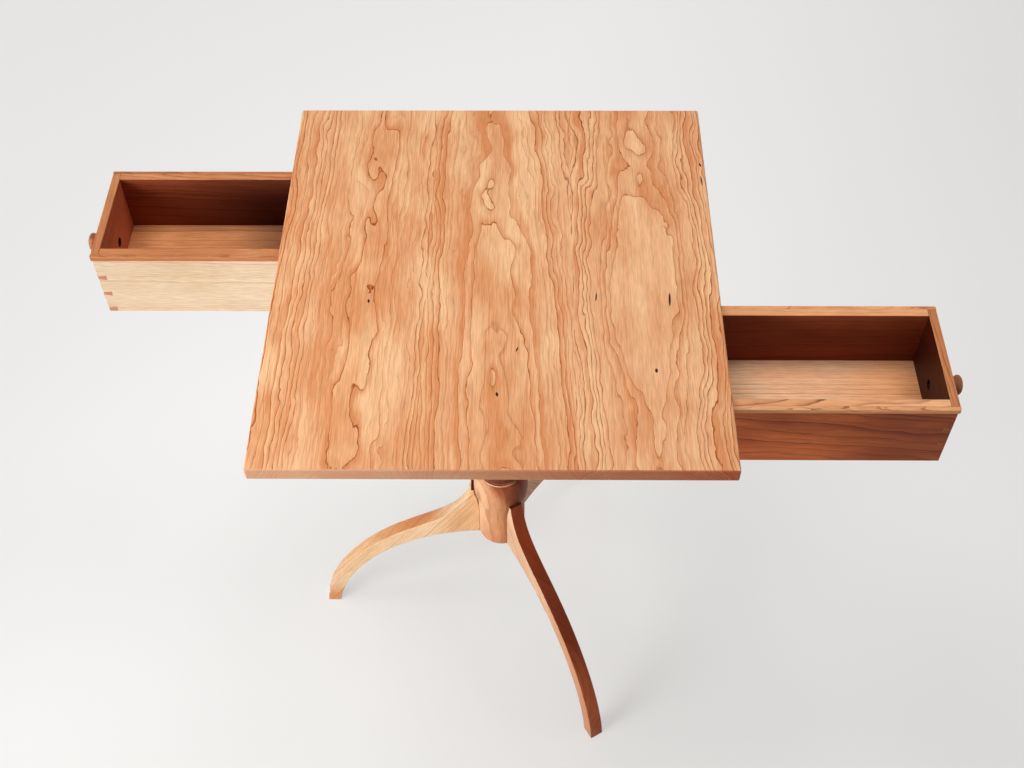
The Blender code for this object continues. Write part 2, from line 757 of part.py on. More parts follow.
def main():
    """Build the stand with its origin under the middle of the whole."""
    clear_scene()
    middle = (REAR_PULL + FRONT_PULL) / 2
    stand = add_empty("stand", None, (-middle, 0.0, 0.0))
    screw_holes = build_screws(stand)
    build_top(stand, screw_holes)
    build_outer_hangers(stand, screw_holes)
    build_centre_cleat(stand, screw_holes)
    build_post(stand)
    build_wedge(stand)
    build_legs(stand)
    build_drawer(stand, "rear_drawer", REAR_PULL, 1)
    build_drawer(stand, "front_drawer", FRONT_PULL, -1)


main()
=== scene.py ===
"""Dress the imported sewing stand: smooth turned and curved pieces, oiled cherry on every board, a pale studio.

Metres, +Z up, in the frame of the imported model. The post's axis stands at x = AXIS_X, y = 0.
"""

import logging
import math
from collections.abc import Callable, Iterator
from contextlib import contextmanager
from dataclasses import dataclass
from enum import Enum
from functools import cached_property, reduce
from typing import ClassVar

import bpy
from mathutils import Matrix, Vector


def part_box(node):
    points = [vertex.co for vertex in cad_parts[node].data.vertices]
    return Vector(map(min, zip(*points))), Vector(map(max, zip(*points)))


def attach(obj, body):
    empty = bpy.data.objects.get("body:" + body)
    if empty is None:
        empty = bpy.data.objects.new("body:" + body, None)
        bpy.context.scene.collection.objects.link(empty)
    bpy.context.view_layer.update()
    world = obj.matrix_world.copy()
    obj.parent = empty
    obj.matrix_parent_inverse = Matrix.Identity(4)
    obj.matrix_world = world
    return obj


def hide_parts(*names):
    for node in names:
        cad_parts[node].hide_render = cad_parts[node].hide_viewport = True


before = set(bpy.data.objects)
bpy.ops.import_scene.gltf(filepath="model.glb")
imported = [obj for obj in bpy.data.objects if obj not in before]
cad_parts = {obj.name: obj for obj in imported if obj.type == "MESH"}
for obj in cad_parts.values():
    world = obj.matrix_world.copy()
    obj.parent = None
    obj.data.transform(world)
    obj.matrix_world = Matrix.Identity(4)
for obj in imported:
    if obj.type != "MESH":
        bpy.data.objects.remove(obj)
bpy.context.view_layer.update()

LOG = logging.getLogger("sewing_stand")
AXIS_X = -0.00825
MERGE = 1e-6
NEAR = 1e-4
SQUARE = 0.99

Colour = tuple[float, float, float]
Triple = tuple[float, float, float]
Point = tuple[float, float]
Corner = tuple[Point, Point, Point]
Ramp = tuple[float, ...]
Tones = tuple[Colour, Colour]
Socket = bpy.types.NodeSocket
Value = float | tuple | Socket

ORIGIN: Triple = (0.0, 0.0, 0.0)
RIGHT: Triple = (1.0, 0.0, 0.0)
BACK: Triple = (0.0, 1.0, 0.0)
UP: Triple = (0.0, 0.0, 1.0)
DOWN: Triple = (0.0, 0.0, -1.0)
WHITE: Colour = (1.0, 1.0, 1.0)


@dataclass(frozen=True)
class Run:
    """How a board was sawn: directions across its face, into its depth and along its grain."""

    across: Triple
    depth: Triple
    along: Triple


class Grain(Enum):
    """Boards whose grain follows an axis of the stand."""

    LENGTHWISE = Run(UP, BACK, RIGHT)
    FLAT_LENGTHWISE = Run(BACK, UP, RIGHT)
    CROSSWISE = Run(UP, RIGHT, BACK)
    FRONT_TO_BACK = Run(RIGHT, UP, BACK)
    UPRIGHT = Run(RIGHT, BACK, UP)


class Tree:
    """A node tree, built step by step."""

    def __init__(self, tree: bpy.types.NodeTree) -> None:
        """Start with the tree as it is."""
        self.tree = tree

    def node(self, kind: str, **settings: object) -> bpy.types.Node:
        """Add a node.

        Args:
            kind: Blender's name of the node type.
            settings: properties to set on it.

        Returns:
            The node.
        """
        made = self.tree.nodes.new(kind)
        for key, value in settings.items():
            setattr(made, key, value)
        return made

    def feed(self, socket: Socket, value: Value) -> None:
        """Link a socket to another one, or set its own value.

        Args:
            socket: the input.
            value: an output to link, or a number, a vector or a colour.
        """
        if isinstance(value, bpy.types.NodeSocket):
            self.tree.links.new(value, socket)
        elif socket.type == "RGBA" and len(value) == 3:
            socket.default_value = (*value, 1.0)
        else:
            socket.default_value = value

    def feed_all(self, node: bpy.types.Node, values: dict[str, Value]) -> None:
        """Feed several inputs of a node by their names."""
        for name, value in values.items():
            self.feed(node.inputs[name], value)

    def math(self, operation: str, first: Value, second: Value = 0.0) -> Socket:
        """Work out a number.

        Args:
            operation: Blender's name of the operation.
            first: its first value.
            second: its second value.

        Returns:
            The result.
        """
        made = self.node("ShaderNodeMath", operation=operation)
        self.feed(made.inputs[0], first)
        self.feed(made.inputs[1], second)
        return made.outputs[0]

    def add(self, *values: Value) -> Socket:
        """Sum of some numbers."""
        return reduce(lambda a, b: self.math("ADD", a, b), values)

    def times(self, *values: Value) -> Socket:
        """Product of some numbers."""
        return reduce(lambda a, b: self.math("MULTIPLY", a, b), values)

    def minus(self, first: Value, second: Value) -> Socket:
        """Difference of two numbers."""
        return self.math("SUBTRACT", first, second)

    def size(self, value: Value) -> Socket:
        """A number without its sign."""
        return self.math("ABSOLUTE", value)

    def vector(self, operation: str, first: Value, second: Value = ORIGIN) -> Socket:
        """Work out a vector, or a number for a dot product or a length.

        Args:
            operation: Blender's name of the operation.
            first: its first vector.
            second: its second vector.

        Returns:
            The result.
        """
        made = self.node("ShaderNodeVectorMath", operation=operation)
        self.feed(made.inputs[0], first)
        self.feed(made.inputs[1], second)
        return made.outputs["Value" if operation in ("DOT_PRODUCT", "LENGTH") else "Vector"]

    def join(self, x: Value, y: Value, z: Value) -> Socket:
        """Make a vector from three numbers.

        Args:
            x: its part along X.
            y: its part along Y.
            z: its part along Z.

        Returns:
            The vector.
        """
        made = self.node("ShaderNodeCombineXYZ")
        for socket, value in zip(made.inputs, (x, y, z)):
            self.feed(socket, value)
        return made.outputs[0]

    def rise(self, value: Value, low: float, high: float, start: float = 0.0, end: float = 1.0) -> Socket:
        """A smooth step.

        Args:
            value: what is followed.
            low: where the step begins.
            high: where it ends.
            start: result below the step.
            end: result above it.

        Returns:
            The stepped value.
        """
        made = self.node("ShaderNodeMapRange", interpolation_type="SMOOTHSTEP")
        for socket, number in zip(made.inputs[:5], (value, low, high, start, end)):
            self.feed(socket, number)
        return made.outputs[0]

    def seen(self) -> Socket:
        """Tell the rays that see from those that carry light.

        Returns:
            1 for rays from the camera, mirrors and glass, 0 for the others.
        """
        rays = self.node("ShaderNodeLightPath")
        result = rays.outputs["Is Camera Ray"]
        for kind in ("Is Glossy Ray", "Is Transmission Ray"):
            result = self.math("MAXIMUM", result, rays.outputs[kind])
        return result


class Shader(Tree):
    """The node tree of one material."""

    look_ramp: Ramp = (0.5, 0.9)

    def __init__(self, name: str) -> None:
        """Start a material with its Principled surface.

        Args:
            name: the material's name.
        """
        self.material = bpy.data.materials.new(name)
        self.material.use_nodes = True
        super().__init__(self.material.node_tree)
        self.surface = self.tree.nodes["Principled BSDF"]

    @cached_property
    def place(self) -> Socket:
        """Place of the point at hand, in metres."""
        return self.node("ShaderNodeTexCoord").outputs["Object"]

    @cached_property
    def normal(self) -> Socket:
        """Direction in which the face at hand looks."""
        return self.node("ShaderNodeNewGeometry").outputs["True Normal"]

    def along(self, way: Triple) -> Socket:
        """How far the point at hand lies along a direction."""
        return self.vector("DOT_PRODUCT", self.place, way)

    def look(self, way: Triple) -> Socket:
        """How squarely the face at hand looks along a direction, from -1 to 1."""
        return self.vector("DOT_PRODUCT", self.normal, way)

    def toward(self, way: Triple) -> Socket:
        """1 on faces that look a given way, 0 on others."""
        return self.rise(self.look(way), *self.look_ramp)

    def noise(self, place: Socket, size: Triple, detail: float = 2.0) -> Socket:
        """Soft noise between 0 and 1.

        Args:
            place: where it is read, in metres.
            size: length of one lump along each direction.
            detail: octaves of finer noise.

        Returns:
            The noise.
        """
        made = self.node("ShaderNodeTexNoise")
        self.feed_all(made, {"Vector": self.vector("DIVIDE", place, size), "Scale": 1.0, "Detail": detail})
        return made.outputs["Fac"]

    def sway(self, noise: Socket, amount: float) -> Socket:
        """Turn noise between 0 and 1 into a swing to both sides of nothing."""
        return self.times(self.minus(noise, 0.5), amount)

    def chance(self, value: Socket, seed: float) -> Socket:
        """A number between 0 and 1 that is fixed for each whole value.

        Args:
            value: the whole number.
            seed: a shift that gives another draw.

        Returns:
            The drawn number.
        """
        made = self.node("ShaderNodeTexWhiteNoise", noise_dimensions="1D")
        self.feed(made.inputs["W"], self.add(value, seed))
        return made.outputs["Value"]

    def blend(self, share: Value, first: Value, second: Value, mode: str = "MIX") -> Socket:
        """Mix two colours.

        Args:
            share: how much of the second.
            first: the first colour.
            second: the second colour.
            mode: Blender's name of the blend.

        Returns:
            The mixed colour.
        """
        made = self.node("ShaderNodeMix", data_type="RGBA", blend_type=mode)
        for number, value in ((0, share), (6, first), (7, second)):
            self.feed(made.inputs[number], value)
        return made.outputs[2]

    def shade(self, colour: Value, level: Socket) -> Socket:
        """A colour made lighter or darker by a level."""
        return self.blend(1.0, colour, self.join(level, level, level), "MULTIPLY")

    def dent(self, height: Socket, strength: float, depth: float) -> None:
        """Bump the surface.

        Args:
            height: relief between 0 and 1.
            strength: how strongly it tells.
            depth: height of a full step, in metres.
        """
        made = self.node("ShaderNodeBump")
        self.feed_all(made, {"Strength": strength, "Distance": depth, "Height": height})
        self.feed(self.surface.inputs["Normal"], made.outputs[0])


@dataclass(frozen=True)
class Fade:
    """A slow change of a board's tones along one way, as from sapwood to heartwood; many fades here are painted
    shade, painted shadow or a painted highlight.
    """

    way: Triple
    start: float
    end: float
    tones: tuple[Colour, ...]


@dataclass(frozen=True)
class Cherry:
    """Oiled cherry: growth rings round a heart outside the board, with fine fibre and darker end grain, and
    painted shade on the faces that look into a drawer and in the hole for a knob.
    """

    name: str
    run: Run
    pale: Colour = (0.66, 0.34, 0.165)
    mid: Colour = (0.50, 0.215, 0.09)
    dark: Colour = (0.20, 0.065, 0.022)
    end: Colour = (0.20, 0.07, 0.03)
    heart: Point = (0.0, 0.05)
    lean: Point = (0.02, 0.04)
    ring: float = 0.0045
    wander: float = 0.006
    kink: float = 0.0025
    ripple: float = 0.0010
    streak: float = 0.75
    # Painted shade: faces that look the inside way, into a drawer, are darkened by the inside colour and its
    # fades.
    inside: Triple | None = None
    inside_painted_shade: Colour = WHITE
    inside_shade_fades: tuple[Fade, ...] = ()
    rim: Tones | None = None
    fades: tuple[Fade, ...] = ()
    rim_fades: tuple[Fade, ...] = ()
    gold: Colour | None = None
    bore: Triple | None = None
    end_slope: Point = (0.72, 0.92)
    seed: float = 0.0

    bend_size: ClassVar[Triple] = (0.030, 0.030, 0.090)
    kink_size: ClassVar[Triple] = (0.013, 0.013, 0.030)
    ripple_size: ClassVar[Triple] = (0.005, 0.005, 0.011)
    wobble_detail: ClassVar[float] = 1.5
    uneven: ClassVar[float] = 0.8
    uneven_rate: ClassVar[float] = 0.55
    late_ramp: ClassVar[Ramp] = (0.20, 1.0)
    late_depth: ClassVar[float] = 0.70
    line_tail: ClassVar[Ramp] = (0.08, 0.22, 1.0, 0.0)
    line_front: ClassVar[Ramp] = (0.0, 0.035)
    line_relief: ClassVar[float] = 0.5
    strength_ramp: ClassVar[Ramp] = (0.12, 0.85, 0.28, 1.0)
    break_size: ClassVar[Triple] = (0.0022, 0.0022, 0.016)
    break_ramp: ClassVar[Ramp] = (0.30, 0.60, 0.35, 1.0)
    hair_size: ClassVar[Triple] = (0.0017, 0.0017, 0.07)
    hair_ramp: ClassVar[Ramp] = (0.56, 0.72)
    hair_depth: ClassVar[float] = 0.36
    cloud_size: ClassVar[Triple] = (0.040, 0.040, 0.10)
    cloud_ramp: ClassVar[Ramp] = (0.34, 0.68, -0.24, 0.46)
    tint_seed: ClassVar[float] = 71.0
    tint_depth: ClassVar[float] = 0.34
    stripe_size: ClassVar[Triple] = (0.020, 0.020, 0.30)
    stripe_ramp: ClassVar[Ramp] = (0.42, 0.60)
    fibre_size: ClassVar[Triple] = (0.0007, 0.0007, 0.016)
    fibre_ramp: ClassVar[Ramp] = (0.25, 0.75, 0.84, 1.11)
    end_share: ClassVar[float] = 0.75
    # Near black painted shade in the hole for a knob's tenon.
    bore_painted_shade: ClassVar[Colour] = (0.020, 0.008, 0.005)
    bore_edge: ClassVar[float] = 0.0003
    seed_step: ClassVar[float] = 0.37
    rough_ramp: ClassVar[Ramp] = (0.2, 0.8, 0.44, 0.56)
    gloss: ClassVar[float] = 0.15
    bump: ClassVar[Point] = (0.12, 0.0003)

    def wobble(self, shader: Shader, board: Socket) -> tuple[Socket, Socket]:
        """How far the rings stray from round.

        Args:
            shader: the material's tree.
            board: place on the board.

        Returns:
            The slow bends, and the kinks with their ripples, in metres.
        """
        bend, kink, ripple = (
            shader.sway(shader.noise(board, size, self.wobble_detail), amount)
            for size, amount in (
                (self.bend_size, self.wander), (self.kink_size, self.kink), (self.ripple_size, self.ripple),
            )
        )
        return bend, shader.add(kink, ripple)

    def count(self, shader: Shader, place: tuple[Socket, ...], wobble: tuple[Socket, Socket]) -> Socket:
        """Number of growth rings from the heart of the tree.

        Args:
            shader: the material's tree.
            place: distances across the board, into it and along it.
            wobble: slow bends and kinks of the rings.

        Returns:
            The number, with its fraction.
        """
        across, depth = (
            shader.add(shader.minus(distance, offset), shader.times(place[2], lean))
            for distance, offset, lean in zip(place, self.heart, self.lean)
        )
        radius = shader.vector("LENGTH", shader.join(across, depth, 0.0))
        return shader.math("DIVIDE", shader.add(radius, shader.add(*wobble)), self.ring)

    def edge(self, shader: Shader) -> Socket:
        """1 on the board's upper edge, which takes the tones of the rim, 0 elsewhere."""
        return shader.toward(UP)

    def end_tone(self, shader: Shader) -> Value:
        """Tone of the end grain at hand."""
        return self.end

    def fineness(self, shader: Shader, place: tuple[Socket, ...]) -> Value:
        """Share of a ring's dark line that is kept, which is less where the rings lie flat."""
        return 1.0

    def tones(self, shader: Shader) -> tuple[Value, Value]:
        """Pale and mid tone at hand, which may fade along the board and differ on its edge.

        Args:
            shader: the material's tree.

        Returns:
            The two tones.
        """
        tones = self.faded(shader, (self.pale, self.mid), self.fades)
        if self.rim:
            rim = self.faded(shader, self.rim, self.rim_fades)
            share = self.edge(shader)
            tones = tuple(shader.blend(share, a, b) for a, b in zip(tones, rim))
        return tones

    @staticmethod
    def faded(shader: Shader, tones: tuple[Value, ...], fades: tuple[Fade, ...]) -> tuple[Value, ...]:
        """Let tones change along a board.

        Args:
            shader: the material's tree.
            tones: the tones to start from.
            fades: the changes, one over the other.

        Returns:
            The tones at hand.
        """
        for fade in fades:
            share = shader.rise(shader.along(fade.way), fade.start, fade.end)
            tones = tuple(shader.blend(share, a, b) for a, b in zip(tones, fade.tones))
        return tones

    def figure(self, shader: Shader, board: Socket, count: Socket, fine: Value) -> tuple[Socket, Socket]:
        """Colour and relief of the growth rings.

        Args:
            shader: the material's tree.
            board: place on the board.
            count: number of growth rings from the heart.
            fine: share of a ring's dark line that is kept.

        Returns:
            The colour, and a relief between 0 and 1.
        """
        jitter = shader.node("ShaderNodeTexNoise", noise_dimensions="1D")
        drift = shader.add(shader.times(count, self.uneven_rate), self.seed)
        shader.feed_all(jitter, {"W": drift, "Scale": 1.0})
        count = shader.add(count, shader.sway(jitter.outputs["Fac"], 2 * self.uneven))
        year = shader.math("FLOOR", count)
        season = shader.math("FRACT", count)
        before = shader.math("DIVIDE", shader.minus(1.0, season), fine)
        edge = shader.times(shader.rise(before, *self.line_tail), shader.rise(before, *self.line_front))
        broken = shader.rise(shader.noise(board, self.break_size), *self.break_ramp)
        strength = shader.rise(shader.chance(year, self.seed), *self.strength_ramp)
        line = shader.times(edge, broken, strength)
        hair = shader.rise(shader.noise(board, self.hair_size, detail=1.0), *self.hair_ramp)
        depth = shader.add(
            shader.times(shader.rise(season, *self.late_ramp), self.late_depth, strength),
            shader.times(shader.chance(year, self.seed + self.tint_seed), self.tint_depth),
            shader.rise(shader.noise(board, self.cloud_size, detail=3.0), *self.cloud_ramp),
            shader.times(hair, self.hair_depth),
        )
        pale, mid = self.tones(shader)
        if self.gold:
            stripe = shader.rise(shader.noise(board, self.stripe_size), *self.stripe_ramp)
            pale = shader.blend(stripe, pale, self.gold)
        colour = shader.blend(depth, pale, mid)
        colour = shader.blend(shader.times(line, self.streak), colour, self.dark)
        fibre = shader.noise(board, self.fibre_size)
        colour = shader.shade(colour, shader.rise(fibre, *self.fibre_ramp))
        return colour, shader.minus(fibre, shader.times(line, self.line_relief))

    def facing(self, shader: Shader, colour: Socket) -> Socket:
        """Darken the end grain, and paint shade on the faces that look into a drawer and in the hole for a
        knob.

        Args:
            shader: the material's tree.
            colour: the colour so far.

        Returns:
            The colour.
        """
        square = shader.size(shader.look(self.run.along))
        share = shader.rise(square, *self.end_slope, 0.0, self.end_share)
        colour = shader.blend(share, colour, self.end_tone(shader))
        # Painted shade on the faces that look into a drawer.
        if self.inside:
            (shade,) = self.faded(shader, (self.inside_painted_shade,), self.inside_shade_fades)
            shade = shader.blend(shader.toward(self.inside), WHITE, shade)
            colour = shader.blend(1.0, colour, shade, "MULTIPLY")
        # Painted shade: the wall of the hole for a knob's tenon is made near black.
        if self.bore:
            y, z, radius = self.bore
            away = shader.vector("SUBTRACT", shader.place, (0.0, y, z))
            away = shader.vector("LENGTH", shader.vector("MULTIPLY", away, (0.0, 1.0, 1.0)))
            hole = shader.rise(away, radius, radius + self.bore_edge, 1.0, 0.0)
            colour = shader.blend(hole, colour, self.bore_painted_shade)
        return colour

    def material(self) -> bpy.types.Material:
        """Build the finish.

        Returns:
            The material.
        """
        shader = Shader(self.name)
        place = tuple(shader.along(way) for way in (self.run.across, self.run.depth, self.run.along))
        board = shader.vector("ADD", shader.join(*place), (self.seed * self.seed_step,) * 3)
        count = self.count(shader, place, self.wobble(shader, board))
        colour, relief = self.figure(shader, board, count, self.fineness(shader, place))
        shader.feed_all(shader.surface, {
            "Base Color": self.facing(shader, colour),
            "Roughness": shader.rise(relief, *self.rough_ramp),
            "Specular IOR Level": self.gloss,
        })
        shader.dent(relief, *self.bump)
        return shader.material


@dataclass(frozen=True)
class LegCherry(Cherry):
    """A leg's cherry, whose curved edges have other tones than its flat faces."""

    flat_ramp: ClassVar[Ramp] = (0.3, 0.8, 1.0, 0.0)

    def edge(self, shader: Shader) -> Socket:
        """1 on the curved edges, 0 on the flat faces."""
        return shader.rise(shader.size(shader.look(self.run.depth)), *self.flat_ramp)


@dataclass(frozen=True)
class Figure:
    """One board of the glued-up top: where its cathedral stands and how its rings rise and fall."""

    left: float
    middle: float
    heart: float
    first: float
    inner: float
    lumps: float
    rise: float = 0.0
    dip: float = 0.0
    dip_middle: float = 0.0
    dip_reach: float = 1.0
    slant: float = 0.0
    lump_length: float = 0.050


@dataclass(frozen=True)
class Fleck:
    """A dark gum fleck in the top."""

    x: float
    y: float
    width: float
    length: float
    turn: float = 0.0


@dataclass(frozen=True)
class CherryTop(Cherry):
    """The top's cherry: flat-sawn boards side by side, each with its own cathedral, and gum flecks."""

    boards: tuple[Figure, ...] = ()
    flecks: tuple[Fleck, ...] = ()

    gum: ClassVar[Colour] = (0.018, 0.006, 0.005)
    gum_ramp: ClassVar[Ramp] = (0.34, 0.52, 1.0, 0.0)
    face: ClassVar[float] = 0.6675
    lump_width: ClassVar[float] = 0.026
    calm_ramp: ClassVar[Ramp] = (0.0, 0.035, 0.40, 1.0)
    plain_ramp: ClassVar[Ramp] = (0.012, 0.060, 0.42, 1.0)
    board_rings: ClassVar[float] = 40.0
    # Painted shade: the end grain darkens towards the right.
    end_shaded_right: ClassVar[Colour] = (0.33, 0.040, 0.003)
    end_reach: ClassVar[Point] = (AXIS_X - 0.17, AXIS_X + 0.24)

    def end_tone(self, shader: Shader) -> Value:
        """Tone of the end grain, which darkens from left to right as painted shade."""
        share = shader.rise(shader.along(self.run.across), *self.end_reach)
        return shader.blend(share, self.end, self.end_shaded_right)

    @staticmethod
    def aside(shader: Shader, place: tuple[Socket, ...], board: Figure) -> Socket:
        """Distance sideways from the middle of a board's cathedral."""
        straight = shader.minus(place[0], AXIS_X + board.middle)
        return shader.minus(straight, shader.times(place[2], board.slant))

    def rings(
        self, shader: Shader, place: tuple[Socket, ...], wobble: tuple[Socket, Socket], number: int
    ) -> Socket:
        """Number of growth rings on one board, falling outwards from its plain middle.

        Args:
            shader: the material's tree.
            place: distances across the top, up and from front to back.
            wobble: slow bends and kinks of the rings, which are calmer in the middle of a board.
            number: which board.

        Returns:
            The number, with its fraction.
        """
        _, depth, along = place
        board = self.boards[number]
        aside = self.aside(shader, place, board)
        reach = shader.size(shader.minus(along, board.dip_middle))
        dip = shader.rise(reach, 0.0, board.dip_reach, board.heart, board.heart + board.dip)
        lump_size = (self.lump_width, board.lump_length, 1.0)
        lumps = shader.noise(shader.join(aside, along, number), lump_size, detail=1.0)
        lumps = shader.sway(lumps, board.lumps)
        sunk = shader.minus(depth, self.face)
        under = shader.add(shader.add(shader.times(along, board.rise), dip), shader.add(lumps, sunk))
        radius = shader.vector("LENGTH", shader.join(aside, under, 0.0))
        calm = shader.rise(shader.size(aside), *self.calm_ramp)
        strayed = shader.add(wobble[0], shader.times(wobble[1], calm))
        beyond = shader.minus(shader.add(radius, strayed), board.first)
        outside = shader.math("DIVIDE", shader.math("MAXIMUM", beyond, 0.0), self.ring)
        within = shader.math("DIVIDE", shader.math("MINIMUM", beyond, 0.0), board.inner)
        return shader.minus(number * self.board_rings, shader.add(outside, within))

    def count(self, shader: Shader, place: tuple[Socket, ...], wobble: tuple[Socket, Socket]) -> Socket:
        """Number of growth rings, with a jump from board to board.

        Args:
            shader: the material's tree.
            place: distances across the top, up and from front to back.
            wobble: slow bends and kinks of the rings.

        Returns:
            The number, with its fraction.
        """
        result = self.rings(shader, place, wobble, 0)
        for number, board in enumerate(self.boards[1:], start=1):
            rings = self.rings(shader, place, wobble, number)
            here = shader.math("GREATER_THAN", place[0], AXIS_X + board.left)
            result = shader.add(result, shader.times(here, shader.minus(rings, result)))
        return result

    def fineness(self, shader: Shader, place: tuple[Socket, ...]) -> Value:
        """Share of a ring's dark line that is kept: the least in the plain middle of a board.

        Args:
            shader: the material's tree.
            place: distances across the top, up and from front to back.

        Returns:
            The share.
        """
        result = 1.0
        for board in self.boards:
            share = shader.rise(shader.size(self.aside(shader, place, board)), *self.plain_ramp)
            result = shader.math("MINIMUM", result, share)
        return result

    def facing(self, shader: Shader, colour: Socket) -> Socket:
        """Darken the end grain, with painted shade towards the right, and add the gum flecks.

        Args:
            shader: the material's tree.
            colour: the colour so far.

        Returns:
            The colour.
        """
        colour = super().facing(shader, colour)
        flat = shader.vector("MULTIPLY", shader.place, (1.0, 1.0, 0.0))
        for fleck in self.flecks:
            near = shader.node("ShaderNodeMapping", vector_type="TEXTURE")
            shader.feed_all(near, {
                "Vector": flat,
                "Location": (AXIS_X + fleck.x, fleck.y, 0.0),
                "Rotation": (0.0, 0.0, fleck.turn),
                "Scale": (fleck.width, fleck.length, 1.0),
            })
            spot = shader.rise(shader.vector("LENGTH", near.outputs[0]), *self.gum_ramp)
            colour = shader.blend(spot, colour, self.gum)
        return colour


@dataclass(frozen=True)
class Steel:
    """Dull steel of the hidden screws, with a fine turned grain."""

    name: str
    colour: Colour = (0.42, 0.41, 0.39)
    grain_size: Triple = (0.002, 0.002, 0.0006)
    tone_ramp: Ramp = (0.3, 0.7, 0.75, 1.1)
    rough_ramp: Ramp = (0.3, 0.7, 0.30, 0.48)

    def material(self) -> bpy.types.Material:
        """Build the finish.

        Returns:
            The material.
        """
        shader = Shader(self.name)
        stain = shader.noise(shader.place, self.grain_size, detail=3.0)
        shader.feed_all(shader.surface, {
            "Base Color": shader.shade(self.colour, shader.rise(stain, *self.tone_ramp)),
            "Roughness": shader.rise(stain, *self.rough_ramp),
            "Metallic": 1.0,
        })
        return shader.material


